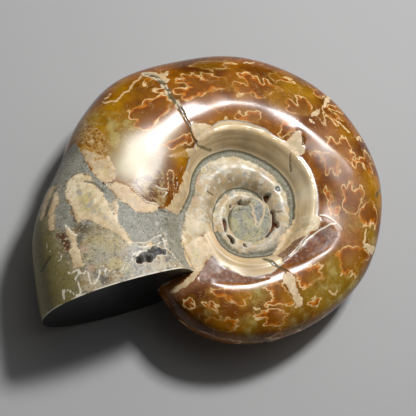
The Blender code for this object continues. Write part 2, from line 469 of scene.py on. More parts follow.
LEAVES: tuple[Points, ...] = (
    # Left of the crack: the large leaf and the dark drops above it.
    ((-18.2, 21.2), (-19.2, 21.2), (-20.4, 20.4), (-21.5, 19.9), (-22.6, 19.6), (-22.9, 19),
     (-22.9, 18.5), (-23.6, 18.1), (-24.5, 17.6), (-25, 17), (-25.8, 16.5), (-25.9, 15.7), (-25.8, 15),
     (-25.1, 14.7), (-24.2, 14.7), (-24.2, 14.3), (-24.6, 13.7), (-24.7, 13.1), (-24.2, 12.7),
     (-23.3, 12.5), (-22.2, 12.5), (-21.4, 13.1), (-20.5, 14.1), (-19.5, 15.7), (-18.6, 16.7),
     (-17.6, 17.6), (-17.2, 19.4), (-17.6, 20.6)),
    ((-21.3, 26), (-21.9, 25.7), (-22.5, 24.8), (-23, 24), (-23.1, 23.5), (-22.7, 23.3), (-22.1, 23.7),
     (-21.5, 24.5), (-21, 25.4)),
    ((-18.6, 23.1), (-19.5, 23), (-20.5, 22.5), (-21.2, 22), (-21.2, 21.6), (-20.4, 21.6), (-19.4, 21.7),
     (-18.4, 22)),
    # Right of the crack: the long leaf that runs along the flank.
    ((-13.2, 24.2), (-14.6, 24.6), (-16.2, 24.8), (-16.3, 25.5), (-15.9, 25.9), (-15.2, 25.9),
     (-14.6, 26.2), (-15.1, 27), (-14.6, 27.4), (-13.8, 27.2), (-13.1, 27.1), (-12.9, 27.7),
     (-12.4, 27.8), (-12, 27.4), (-11.4, 27.2), (-10.9, 26.6), (-10.4, 26.5), (-10.5, 27.2), (-10.9, 28),
     (-10.6, 28.4), (-9.8, 28.4), (-8.7, 28.1), (-7.4, 27.5), (-6, 27.8), (-5.2, 26.8), (-4.8, 25.6),
     (-6, 24.8), (-8.3, 23.8), (-8.4, 24.3), (-9.2, 23.8), (-9.8, 23.5), (-10.4, 22.9), (-11.2, 22.2),
     (-11.5, 22.6), (-12, 21.7), (-12.8, 21.6), (-13.5, 20.9), (-14.5, 20.5), (-15.2, 20.6), (-15, 21.2),
     (-14.6, 21.8), (-15.8, 21.3), (-16.4, 21.6), (-16.5, 22.3), (-16.9, 23), (-16.2, 23.4), (-15, 23.6),
     (-13.6, 23.9)),
    # Top of the coil.
    ((-3.6, 24.8), (-3.9, 25.4), (-4.5, 25.8), (-4.4, 26.7), (-4, 27.3), (-3.2, 27.2), (-2.6, 27),
     (-1.8, 27.2), (-1.2, 26.8), (-1.4, 27.4), (-2, 28), (-2.8, 28.3), (-3.1, 28.9), (-2.8, 29.4),
     (-2, 29.6), (-1.9, 30.2), (-1.2, 30.2), (-0.5, 30.1), (0, 29.5), (0.3, 28.8), (0.8, 29.6),
     (1.2, 29.8), (1.6, 29), (1.9, 28.1), (2.2, 27.8), (2.4, 28.6), (2.8, 29.3), (3.4, 29.1),
     (3.8, 28.3), (4.4, 27.9), (4.9, 27.6), (5.3, 27.2), (5.5, 27.9), (6, 27.8), (6.5, 27), (5.8, 26.5),
     (4.6, 26), (3, 25.2), (2.6, 24.5), (1.8, 24.2), (0.8, 24.2), (-0.1, 24.9), (-0.3, 24.3),
     (-1.2, 24.6), (-2.1, 24.1), (-3.3, 23.5), (-3.8, 24), (-3.3, 24.6)),
    ((-8.2, 29), (-8.3, 29.8), (-6.8, 30.1), (-5.5, 30.2), (-4.4, 30.5), (-6.1, 31), (-5.8, 31.6),
     (-4.4, 31.9), (-3, 32.3), (-5, 33), (-8, 32.6), (-11, 31.6), (-13, 30.2), (-10, 29.6)),
    ((5.3, 28.6), (5.4, 29.3), (6.2, 29.6), (7.2, 29.7), (8.2, 29.8), (9.8, 29.9), (8.6, 30.6),
     (9.2, 31), (7.8, 31.2), (6.4, 31), (5.6, 31.9), (4.6, 31.2), (3.6, 30.6), (4.6, 29.4)),
    ((7.1, 24.4), (7.4, 25), (8, 25.5), (8.6, 25.1), (9.1, 24.6), (9.6, 24.3), (10, 24.2), (9.6, 24.9),
     (9.5, 25.7), (9.8, 26.5), (10.2, 26.5), (10.6, 26.2), (11.2, 26.4), (11.6, 26.3), (12, 25.7),
     (12.6, 25.1), (13.1, 24.6), (13.1, 23.8), (12.8, 23), (12.3, 22.5), (11, 21.9), (9.5, 21.9),
     (8.1, 21.9), (7.2, 22.3), (7.2, 23), (7.6, 23.7)),
    ((13.8, 28.2), (14.6, 27.8), (15.8, 27.6), (16.6, 28.6), (17.4, 29.8), (16.6, 30.6), (15.2, 30.2),
     (14.2, 29.4)),
    ((15.4, 25), (15.7, 23.8), (15.5, 22.6), (16.1, 23), (16.9, 22.7), (17.7, 22.1), (18.3, 21.2),
     (18.8, 21), (18.7, 22.2), (19.6, 23.2), (20.4, 23), (19.4, 23.8), (18, 24.3), (17, 24.7),
     (17.9, 25), (19, 24.8), (20.5, 25), (21.5, 26.3), (20, 27), (18, 26.6), (16.6, 25.8)),
    ((15.5, 16), (16.2, 17.1), (16, 17.6), (16.6, 17.8), (17.2, 18.1), (17.6, 17.7), (17.9, 16.8),
     (18.3, 16.6), (18.7, 17.8), (19.1, 18.6), (19.5, 18.8), (19.7, 18.1), (20.2, 18.5), (20.6, 18.2),
     (20.8, 17.4), (21, 16.7), (21.5, 16.4), (21.2, 15.7), (20.7, 15), (20.8, 14.5), (21.6, 14.9),
     (22, 14.5), (21.7, 13.7), (21.1, 13), (20.9, 12.1), (20, 12.4), (18.9, 13.4), (17.6, 14.3),
     (16.6, 15), (15.7, 15.4)),
    ((-3, 20.6), (-2.6, 20), (-2, 19.6), (-1.5, 20.2), (-0.5, 20.8), (0.6, 21.1), (1.6, 20.8), (1.8, 20),
     (1.5, 19.3), (1, 18.8), (-0.5, 18.5), (-2, 18.8), (-3.2, 18.2), (-4.2, 18.3), (-3.8, 19.4)),
    ((5.8, 19), (6.4, 19.6), (7, 19.8), (7.7, 19.4), (8.6, 18.9), (9, 18.3), (8.4, 17.6), (7.6, 16.9),
     (6.8, 16.3), (6.2, 15.9), (5.5, 16.5), (5.4, 17), (6.2, 17.3), (6, 18)),
    ((-8.9, 16.9), (-8, 17.3), (-7.3, 17.8), (-6.5, 17.9), (-5.8, 18.6), (-5.3, 18.1), (-4.8, 17.9),
     (-5.5, 17.4), (-6.5, 17), (-7.8, 16.7)),
    # Right of the coil.
    ((12.4, 12.6), (12.6, 13.5), (13, 13.4), (13.3, 13), (13.7, 13.7), (14.1, 13.5), (14.6, 13.3),
     (14.7, 12.7), (14.5, 12.1), (15.1, 12), (15.1, 11.4), (15.3, 10.5), (15.4, 9.9), (15.7, 8.9),
     (16.1, 9.5), (16.4, 10.2), (16.7, 10.2), (16.9, 9.7), (17.3, 9.2), (17.6, 9.6), (17.9, 9),
     (18.2, 9.8), (18, 10.5), (18.4, 11.5), (18.2, 12.3), (17.6, 13.2), (16.7, 13.7), (15.9, 13.8),
     (15, 14.1), (14.1, 14.4), (13.1, 14.2), (12.3, 13.5)),
    ((15, 5.9), (15.3, 6.5), (15.6, 6.3), (15.8, 5.8), (16.1, 6.2), (16.5, 6), (16.7, 5.5), (16.5, 4.9),
     (16.7, 4.3), (17, 3.7), (16.5, 3), (16.1, 2.4), (15.8, 2.9), (15.9, 3.6), (15.5, 4.2), (15.4, 4.8),
     (15.1, 5.2)),
    ((16.2, 1.8), (16.5, 2.1), (16.9, 1.7), (17.1, 2.4), (17.5, 2.7), (18.1, 2.6), (18.6, 2.2),
     (18.4, 1.5), (18.1, 0.6), (17.9, -0.1), (17.5, 0.7), (17.2, 1.4), (16.9, 0.9), (16.6, 0.5),
     (16.3, 1.2)),
    ((21.1, 12.7), (21.2, 11.5), (21.6, 10.2), (22, 11.4), (22.3, 12.4), (23, 13), (23.6, 12.8),
     (23.9, 11.7), (24.2, 10.3), (24.5, 10.8), (24.7, 10.2), (25.3, 9.1), (25.3, 10.4), (25, 11.6),
     (25.6, 11.5), (26.2, 10.9), (26.1, 12.2), (25.6, 13.4), (26, 13.6), (27.5, 14.1), (28.4, 13.7),
     (28, 14.9), (26.9, 15.6), (25.9, 16), (25.1, 16.4), (24.3, 16.7), (23.9, 15.9), (24.3, 15.1),
     (23.9, 14.2), (22.9, 13.9), (21.9, 13.6)),
    ((18.5, 6.8), (18.7, 7.3), (19.3, 7.3), (19.5, 6.8), (19.8, 7.1), (20.1, 7.9), (20.5, 8.3),
     (20.9, 8.1), (21.1, 7.3), (21.1, 6.5), (21.4, 6.3), (21.9, 6.9), (22.6, 7.6), (23, 7.5),
     (23.1, 6.9), (23.6, 6.6), (23.7, 6), (23.3, 5.2), (22.9, 4.5), (23.1, 3.8), (22.6, 3.1),
     (22.5, 2.4), (22.1, 1.6), (21.5, 0.9), (20.7, 1.2), (19.8, 1.3), (19.2, 2.1), (18.8, 2.7),
     (18.8, 3.5), (19.3, 4.5), (18.9, 5.1), (18.7, 5.9)),
    ((23, 0.6), (23.3, -0.4), (23.5, -1.4), (23.9, -0.7), (24.2, 0.3), (24.6, -0.4), (25, -0.9),
     (25.2, -0), (25.5, 0.9), (26, 0.4), (26.6, -0.3), (27, 0.9), (27.4, 2.1), (27, 2.9), (26.7, 3.7),
     (26.2, 4.1), (25.9, 4.9), (25.1, 5.1), (24.1, 4.3), (23.3, 3.5), (22.7, 2.5), (22.3, 1.6),
     (22.7, 0.7)),
    ((17.2, -8), (17.9, -8.9), (18.5, -9.6), (18.3, -10.2), (18.9, -11), (18.4, -11.9), (19.4, -11.4),
     (19.9, -11.6), (20.3, -10.9), (20.9, -10.6), (20.8, -11.5), (21.7, -11), (22.2, -11.3),
     (22.8, -10.3), (22.4, -9.6), (22.9, -8.6), (24.2, -7.5), (25.8, -6.5), (25, -5.7), (23.6, -5.3),
     (22, -5.2), (20, -5.8), (18.5, -6.5)),
    # Below the coil.
    ((8.9, -12.3), (9.8, -11.8), (11, -11.2), (12.5, -10.8), (13.4, -10.2), (14.3, -10.4), (14.2, -11),
     (13.9, -11.7), (14.6, -12.1), (14.9, -12.7), (14.5, -13.2), (13.6, -13.3), (13, -13.6),
     (12.5, -14.3), (12.2, -14.6), (11.4, -15), (10.7, -15.4), (10.4, -15.9), (9.8, -15.2), (9.3, -14),
     (8.9, -13.2)),
    ((11.4, -18.2), (12.2, -17.8), (12.9, -17.3), (13.6, -16.8), (14.5, -17), (14.3, -17.6), (14, -18.2),
     (13.3, -18.2), (12.8, -18.7)),
    ((2.2, -16.4), (3.5, -15.3), (5, -15), (6, -14.9), (6.5, -15.8), (7.3, -16.8), (8, -17.8),
     (8.8, -18.8), (9.2, -19.4), (8.4, -19.2), (7.2, -19.3), (6.2, -19.5), (5.4, -19.4), (4.9, -19.9),
     (4.2, -20), (3.4, -19.7), (2.7, -19.6), (3.7, -19), (4.4, -18.4), (3.6, -17.8), (4.2, -17),
     (3.2, -16.8)),
    ((2.6, -19.9), (3.1, -20.3), (3.2, -20.9), (2.4, -21.1), (1.4, -21.5), (1.8, -21.9), (0.8, -21.9),
     (-0.4, -22.3), (0.8, -22.5), (2.2, -22.5), (3.1, -22.4), (3.2, -23), (2.8, -23.7), (3.8, -23.5),
     (5, -23.4), (6.4, -23.2), (7.2, -22.4), (6.8, -21.6), (7.4, -21), (6.5, -20.5), (5.2, -20.3),
     (4.4, -20.3)),
    ((-6.6, -19.6), (-6.3, -19), (-5.7, -19.1), (-5.2, -19.5), (-4.6, -19.9), (-4, -20.1), (-4.3, -19.5),
     (-3.6, -19.9), (-3, -20.4), (-2.2, -20.6), (-1.6, -20.5), (-1.1, -20), (-1.3, -19.5), (-1.9, -19.1),
     (-1, -19.1), (-0.5, -18.8), (-0.3, -18.2), (-0.4, -17.8), (-1.5, -17.6), (-3, -17.4), (-5, -17.3),
     (-6.5, -17.6), (-8.5, -17.8), (-8.4, -18.6), (-7.4, -19)),
    ((-9.6, -20.3), (-8.8, -20.4), (-8.4, -20.7), (-8.1, -20.1), (-7.6, -20), (-7.3, -20.6),
     (-6.6, -20.6), (-6.7, -21), (-7.4, -21.3), (-6.1, -21.9), (-6.5, -22.1), (-7.6, -21.6),
     (-8.4, -21.6), (-8.3, -21.2), (-9, -21)),
    ((-13, -19.9), (-12, -19.3), (-11.2, -19.4), (-11.4, -19.9), (-10.9, -20.1), (-11.5, -20.6),
     (-11, -21), (-11.2, -21.5), (-12, -21.2), (-13, -20.8)),
    ((-7.8, -23), (-7.3, -22.8), (-6.4, -23.2), (-5.8, -22.9), (-5.2, -23.1), (-4.4, -22.9),
     (-3.6, -23.2), (-3, -23.3), (-2.5, -23.1), (-2.5, -23.6), (-2.9, -23.9), (-2.2, -24.4),
     (-2.8, -24.6), (-3.3, -24.9), (-4, -25.3), (-6, -25.6), (-8, -25.2), (-9, -24)),
    # Beside the aperture.
    ((-18.5, 9.9), (-17.9, 9.4), (-17.2, 9.4), (-16.2, 9.8), (-15.2, 10.7), (-14.2, 11.2), (-13.3, 11.2),
     (-12.6, 12), (-12.6, 13.2), (-13.4, 13.5), (-14.2, 13), (-15.2, 12.5), (-16.3, 11.9),
     (-17.5, 11.2)),
)

SUTURES: tuple[Stroke, ...] = (
    Stroke(((-17.5, 0.6), (-17.5, 2.4), (-17.8, 4.2), (-17.4, 4.9), (-16.7, 4.9), (-16.4, 4.3),
        (-16.5, 3), (-16.1, 1.6), (-16.3, 0.1)), 0.05, 0.05),
    Stroke(((-22.5, 27.4), (-22.9, 26.2), (-23.6, 25), (-24.4, 24.4), (-24.8, 23.5), (-25.2, 22.6),
        (-25.6, 21.8), (-26.4, 21.5), (-26.8, 21), (-27.1, 20.3), (-27.7, 19.7), (-27.9, 19),
        (-28.5, 19.3), (-29.2, 19.3), (-29.9, 18.9), (-30.3, 19.4))),
    Stroke(((-30, 20.3), (-29.3, 20.6), (-28.9, 21.5))),
    Stroke(((-33.7, 15), (-33.8, 13.2), (-33.4, 11.2)), 0.15, 0.1),
    Stroke(((19, 22.2), (20, 21.3), (20.7, 20.7), (21.3, 20.2)), 0.12, 0.22),
    Stroke(((14.6, 21.7), (15.2, 20.6), (15.9, 20.3), (15.8, 21.5), (15.6, 22.6), (16.4, 22.9),
        (17.3, 22.4), (17.9, 21.3), (18.5, 20.7)), 0.05, 0.05),
    Stroke(((17.6, 22.7), (18.4, 22.2), (19.6, 21.8)), 0.05, 0.05),
    Stroke(((18.8, 23.3), (19.5, 23), (20.3, 22.8)), 0.05, 0.05),
    Stroke(((22.9, 19.6), (23.3, 18.8), (24.3, 20.4), (24.1, 19), (25.1, 19.2)), 0.06, 0.06),
    Stroke(((24.3, 16.5), (25.1, 16.1), (25.8, 15.4), (26.3, 14.7)), 0.06, 0.06),
    Stroke(((24.3, -1.2), (24, -2.2), (24, -3.4), (23.6, -4.2)), 0.1, 0.2),
    Stroke(((23.2, 18.8), (23.4, 19.6), (24, 20.2), (24.6, 20))),
    Stroke(((-1.2, 33), (-0.6, 33.5), (0.2, 33.3), (1.2, 33.9))),
    Stroke(((0.4, -20.6), (1, -20.9), (1.6, -20.7))),
    Stroke(((16.2, -15.2), (17, -15.6), (17.8, -15.4), (18, -14.8))),
)

WHITE_LINES: tuple[Stroke, ...] = (
    Stroke(((-36.3, -18.3), (-35.9, -18.8), (-35.3, -18.6), (-34.9, -18.2), (-34.3, -18.1), (-34, -18.9),
        (-33.5, -19), (-33.1, -18.3), (-32.7, -18.9), (-32.5, -20), (-32.2, -20.9), (-31.5, -21),
        (-31, -20.2), (-30.7, -19.2), (-30.6, -18.5), (-31, -18)), 0.14, 0.16),
    Stroke(((-34.3, -18.2), (-34.5, -19.3), (-34.9, -19.9), (-34.3, -20.8), (-33.9, -21.8),
        (-33.8, -22.8), (-34.3, -23.2), (-35.1, -22.6), (-35.9, -21.9), (-36.8, -21.8), (-36.7, -22.6),
        (-36.5, -23.6)), 0.14, 0.16),
    Stroke(((-29.9, -18.3), (-29.5, -18.9), (-29.8, -19.6), (-29.5, -20.3)), 0.1, 0.06),
    Stroke(((-40, -12), (-39.8, -13.3), (-39.1, -14.2), (-38.8, -15.5), (-38.2, -16), (-37.6, -16.1),
        (-37.4, -15.2), (-37.9, -14.4)), 0.06, 0.1),
    Stroke(((-30, -17.4), (-29.4, -18.1), (-28.6, -18.5), (-27.5, -18.5), (-26.6, -18.1), (-26.2, -17.2),
        (-26.1, -16.4)), 0.14, 0.05),
    Stroke(((-25.8, -12.3), (-24.5, -12.2), (-23.3, -11.9), (-22, -11.6), (-21.2, -11.1), (-20.5, -10.3),
        (-19.4, -9.7), (-18.9, -8.9), (-18.9, -7.9), (-19.2, -7.3)), 0.08, 0.05),
    Stroke(((-24, -13.2), (-23.2, -12.8), (-22.4, -12.7), (-21.4, -12.2)), 0.08, 0.14),
    Stroke(((-19.8, -11.6), (-19.2, -11), (-18.4, -10.9), (-17.8, -10.2)), 0.06, 0.12),
    Stroke(((-17.6, -14.2), (-16.8, -14.8), (-16.2, -15.6)), 0.05, 0.1),
    Stroke(((-19, -9.5), (-18.3, -10.6), (-18, -11.9), (-17.4, -12.5), (-16.6, -13), (-16.1, -13.8),
        (-15.3, -14.4), (-14.9, -15)), 0.14, 0.08),
    Stroke(((-26.1, -15.9), (-25, -15.8), (-24.2, -15.1), (-23.4, -14.3), (-22.9, -13.7)), 0.05, 0.1),
    Stroke(((-23.3, -8.7), (-23.1, -9.4), (-22.4, -9.8)), 0.1, 0.05),
    Stroke(((-25.3, -0.2), (-24.4, -0.9), (-23.4, -1.9), (-22.2, -2.7), (-21.2, -3), (-20.2, -2.8),
        (-19.5, -3.3)), 0.1, 0.16),
    # These two are painted highlights along the raised edge of the sunken worn patch.
    Stroke(((14.2, 0.4), (15.5, 0.2), (16.5, -0.2), (17.5, -0.9), (18.2, -1.7),
        (18.7, -2.4)), 0.12, 0.1),
    Stroke(((17.2, -1.3), (16.2, -1.5), (15.2, -2.2), (14, -2.9), (13, -3.8), (12.2, -4.5), (11.3, -5.2),
        (10.9, -6), (10.2, -6.8), (9.3, -7.6), (8.2, -8.8)), 0.16, 0.06),
    Stroke(((11.7, -4.2), (11, -4.9), (10.6, -5.5), (10, -6.5), (9.4, -7), (8.7, -8),
        (7.8, -8.9)), 0.1, 0.06),
    Stroke(((-20.2, 0.9), (-19.3, 0.7), (-18.7, 0.6), (-17.6, 0.8)), 0.14, 0.08),
    Stroke(((-19.7, 0.2), (-18.5, 0.1), (-17.7, 0)), 0.08, 0.1),
    Stroke(((-18.7, -1.3), (-18.1, -0.5), (-17.6, 0.2)), 0.06, 0.1),
    Stroke(((-15.8, 4.2), (-15.6, 2.8), (-15.7, 1.6), (-15.9, 0.5)), 0.04, 0.08),
    Stroke(((-14.6, 6.5), (-14.9, 5.1), (-15.2, 3.5), (-15.5, 2.2)), 0.03, 0.06),
    Stroke(((-37.1, -9), (-36.4, -9.9), (-35.6, -11), (-34.9, -11.3)), 0.22, 0.18),
)

# The healed crack across the flank: a fine dark line in a ragged, flecked band.
CRACK: tuple[Stroke, ...] = (
    Stroke(((-22.2, 27.0), (-21.3, 26.8), (-20.6, 26.3), (-19.9, 25.9), (-19.5, 25.0),
            (-18.8, 24.5), (-18.5, 23.4), (-17.8, 22.5), (-17.7, 21.5), (-17.1, 20.6),
            (-16.5, 20.1), (-15.8, 19.0), (-15.2, 18.3), (-14.6, 17.3)), 0.0, 0.0),
)

VEINS: tuple[Stroke, ...] = (
    Stroke(((-14.7, 17.3), (-14.3, 16.4), (-13.5, 15.5), (-13.2, 14.2), (-12.7, 13), (-12, 12.3),
        (-11.3, 11.6)), 0.2, 0.13),
    Stroke(((-11.3, 11.6), (-10.4, 11.8), (-9.2, 12), (-8, 12.3)), 0.12, 0.08),
    Stroke(((8.2, 13), (8.3, 12), (8.6, 10.8), (8.9, 10)), 0.08, 0.06),
    Stroke(((3.4, -9.6), (4, -10.4), (4.6, -11.1), (5.6, -11.7), (7.2, -12.4)), 0.55, 0.12),
    Stroke(((-34, 0.3), (-32.5, 0.1), (-31.5, -0.6), (-30.6, -1.6)), 0.1, 0.3),
    Stroke(((-39.4, -15), (-39.9, -16), (-40.3, -17)), 0.25, 0.12),
    Stroke(((26.8, 6.5), (27, 7.2)), 0.25, 0.2),
    Stroke(((27.5, 7.6), (28.2, 8.3), (28.9, 9)), 0.2, 0.35),
    Stroke(((-8.6, 3.2), (-7.4, 2.9)), 0.14, 0.1),
    Stroke(((6.1, 1.3), (7.4, 1.5)), 0.1, 0.06),
    Stroke(((-19.4, -3.8), (-18.6, -4), (-17.9, -4.1)), 0.22, 0.15),
    Stroke(((10.7, 17), (11.1, 16.2), (10.7, 15.3)), 0.12, 0.16),
    Stroke(((-39.3, -2), (-39.9, -4), (-40.4, -6.2)), 0.12, 0.16),
    Stroke(((-2.7, 0.4), (-2.3, 0.9), (-1.5, 1.2), (-0.5, 1.5)), 0.14, 0.06),
)

FLAKES: tuple[Points, ...] = (
    ((-7.6, -10.2), (-9, -12.2), (-10.2, -14.4), (-11.4, -16.2), (-13, -17.6), (-15.4, -18.6),
     (-15.6, -17.8), (-13.6, -16.7), (-12.2, -15.4), (-11, -13.6), (-9.8, -11.6), (-8.4, -9.8)),
    ((-34.9, 8.4), (-34.2, 6.4), (-33.2, 4.2), (-32, 1.8), (-30.4, 0.2), (-28.8, 0.4), (-28, 2.2),
     (-28.6, 4), (-29.6, 6), (-31.4, 6.2), (-32.4, 7.4), (-33.8, 8.8)),
    # Nacre left on the matrix beside the aperture: the island, its branch and the wedge.
    ((-36, 1.9), (-35.2, 2.3), (-34.3, 2), (-33.2, 1.6), (-32.7, 1), (-32.8, 0.5), (-33.6, 0.2),
     (-33.4, -0.3), (-32.2, -0.5), (-31.2, -1.2), (-30.5, -2.5), (-30, -3.6), (-29.6, -4.4),
     (-29.2, -5.5), (-29, -6.2), (-28.3, -6.9), (-28.2, -5.4), (-28.5, -3.9), (-28, -3.8), (-27.6, -5),
     (-27.6, -6.4), (-27.9, -7.7), (-27.2, -8.8), (-26.6, -9.7), (-26, -10.4), (-25.4, -11.2),
     (-24.9, -12), (-25.3, -12.6), (-26.5, -11.8), (-27.8, -10.5), (-29.3, -9.9), (-30.5, -9.3),
     (-31.8, -8.5), (-33, -8.2), (-34, -8), (-34.7, -8.5), (-35.3, -8.2), (-35.7, -7), (-35.9, -5.8),
     (-36.3, -4.8), (-36.8, -3.6), (-37.1, -2.2), (-37.1, -1), (-36.8, 0.3), (-36.4, 1.2)),
    ((-29.4, -0.8), (-28.8, -0.2), (-28, 0.3), (-26.6, 0.2), (-25.6, -0.2), (-24.6, -1.2), (-23.6, -2.2),
     (-22.4, -3), (-21.3, -3.3), (-20.3, -3.1), (-19.6, -3.7), (-20, -4.3), (-21, -4.9), (-22.4, -5.2),
     (-24, -5.4), (-24.6, -4.8), (-25.4, -4.2), (-26.8, -3.7), (-27.7, -3.1), (-28, -2.2),
     (-28.8, -1.6)),
    ((-37.2, -9.2), (-36.6, -9.3), (-35.9, -10.4), (-34.8, -11.4), (-35.2, -11.8), (-34.8, -13),
     (-34.2, -15.2), (-33.6, -17), (-33.6, -17.6), (-34.4, -17.8), (-35.2, -17.7), (-35.6, -16.5),
     (-36.1, -15), (-36.3, -14.4), (-35.9, -13.6), (-36, -12.5), (-36.5, -11.3), (-37, -10.2)),
    ((-39, 0.8), (-39.6, -1), (-40.2, -3.2), (-40.5, -5.2), (-40.9, -7), (-41.2, -6.4), (-40.9, -4),
     (-40.2, -1.6), (-39.5, 0.4)),
    ((-38.5, 0.2), (-38.7, -1.5), (-38.4, -3.5), (-38.6, -4.8), (-39.3, -5.8), (-38.9, -7.5),
     (-39, -9.8), (-39.9, -10), (-39.8, -7.5), (-40.1, -6), (-39.9, -4.5), (-39.3, -2.5), (-38.9, -0.8)),
    # Beside the seam.
    ((-18, -3.4), (-17.3, -2.2), (-16.5, -1), (-15.6, 0.7), (-14.9, 2.2), (-14.3, 4), (-13.9, 6),
     (-12.6, 6), (-12.4, 4), (-12.6, 2), (-13.2, 0.3), (-13.8, -1.2), (-14.3, -2.3), (-15.3, -3),
     (-16.8, -3.4)),
    ((-17.6, 7.6), (-16.6, 8.2), (-15.2, 9.2), (-13.6, 10.2), (-12, 11), (-11.2, 10.6), (-12.6, 9),
     (-14.2, 8.4), (-15.8, 7.9)),
    ((-13.3, 15.4), (-12.7, 15.9), (-11.6, 15.9), (-10.2, 16.2), (-8.8, 16.2), (-8, 15), (-9, 13.4),
     (-11, 12.2), (-12.4, 12.7), (-12.9, 13.8)),
    ((6.3, 14.9), (7.2, 15.6), (8.2, 16.6), (9.2, 17.5), (9.8, 18), (10.3, 17.6), (10.6, 16.8),
     (10.7, 15.8), (10.8, 15), (11.2, 14.3), (11, 13), (9, 13)),
    ((10, 0.1), (11, 0.2), (12.3, 0), (13.2, 0.3), (14.1, -0.2), (14.4, -0.9), (14.3, -1.7),
     (13.6, -2.6), (12.8, -3.3), (11.5, -3.9), (10.3, -4.2), (9.4, -4.6), (8.8, -5.3), (8.3, -6),
     (7.4, -6.8), (6.3, -7.7), (5.7, -8.2), (5, -9), (7, -4)),
    ((6.4, -13.6), (7.2, -12.6), (8, -12.7), (8.6, -14), (9.1, -15.3), (9.6, -16.6), (10.2, -17.8),
     (10.6, -18.9), (9.8, -19.4), (9.2, -19), (8.6, -18.1), (7.9, -16.9), (7.1, -15.8), (6.3, -14.9)),
    ((-11.2, -6.2), (-9.3, -6.7), (-8.4, -8), (-7.8, -9.3), (-8.8, -10.3), (-9.8, -9.6), (-11, -8.2)),
    ((-13.4, -5.6), (-12.2, -6.6), (-10.8, -8), (-9.2, -9.2), (-7.8, -10), (-9.2, -12.2), (-10.6, -14),
     (-12.4, -13.4), (-13.2, -11.4), (-13.8, -8.6)),
    # Over the crack, on the rim and in the dark leaves.
    ((-21.8, 28), (-20.6, 27.5), (-19.9, 27.6), (-19.6, 27), (-19.1, 27.2), (-18.3, 27.3), (-17.6, 27.8),
     (-17.2, 28.1), (-17.1, 27.6), (-17.6, 27), (-18.1, 26.5), (-18.1, 25.7), (-17.2, 25.6),
     (-17.6, 25.1), (-18.1, 24.6), (-18.3, 24.2), (-19, 24.5), (-19.8, 25), (-19.8, 25.9), (-20.6, 26.6),
     (-21.6, 27.2)),
    ((18.9, 30.3), (18.2, 30.2), (17.2, 29), (16.6, 27.5), (16.1, 26.2), (15.8, 25), (15.4, 24.4),
     (16.3, 25.3), (17, 26.6), (17.6, 27.4), (18.2, 28.6)),
    ((14.9, 24.3), (14.3, 24.1), (13.6, 23.5), (13, 22.8), (12.5, 22.1), (13.1, 22), (13.9, 22.2),
     (14.6, 23), (15, 23.8)),
    ((12.2, 21.3), (12, 20.4), (12.8, 20.5), (13.4, 20.4), (12.8, 21)),
    ((15.2, 21.9), (15.6, 21.5), (16.1, 20.4), (15.7, 20.3), (15.3, 21)),
    ((23.5, -4.1), (24.3, -4.2), (25.4, -4), (26.6, -3.8), (27.6, -3.6), (28, -3.4), (27.5, -4.4),
     (26.8, -5), (26, -5.4), (25, -5.6), (24.2, -5.1), (23.6, -5)),
    ((-21.9, -11.7), (-21, -11.5), (-20.7, -12.2), (-21.6, -12.7)),
)

MATRIX: tuple[Points, ...] = (
    # Bare sediment: the dark field by the rim and the speckled one by the seam.
    ((-40.5, 7.5), (-35.2, 10.2), (-34.7, 8), (-34, 6.5), (-33.8, 5), (-33, 3.6), (-32.4, 1.8),
     (-31.6, 0.9), (-30.6, 0), (-29.7, -0.9), (-28.9, -1.8), (-28.1, -2.1), (-28.3, -3.4), (-29, -4.2),
     (-29.9, -3.8), (-30.8, -1.6), (-33, 1.9), (-35.6, 2.6), (-37.3, 0), (-37.4, -2), (-37, -4),
     (-36.2, -6), (-35.8, -8), (-35.2, -9.3), (-36.5, -10.3), (-38, -9.8), (-38.8, -9), (-38.6, -7),
     (-39, -5.6), (-38.2, -4), (-38.1, -1), (-38.4, 0.6), (-39.6, 0.9)),
    ((-27.6, -3.6), (-26.2, -4), (-24.9, -4.9), (-24.2, -5.6), (-22.3, -5.4), (-20.7, -5), (-19.8, -4.4),
     (-18, -4.1), (-16, -3.5), (-14.6, -2.6), (-13.8, -1.6), (-13.2, -2), (-13.6, -5), (-14, -8),
     (-13.2, -11), (-11.6, -14.2), (-14, -14.9), (-15.6, -14), (-16.8, -12.4), (-17.6, -10.4),
     (-18.4, -8.9), (-19, -9.2), (-20.6, -10.2), (-21.8, -11.5), (-23.8, -12), (-24.9, -11.7),
     (-25.6, -10.4), (-26.5, -9.3), (-27.4, -8.2), (-27.6, -6)),
)

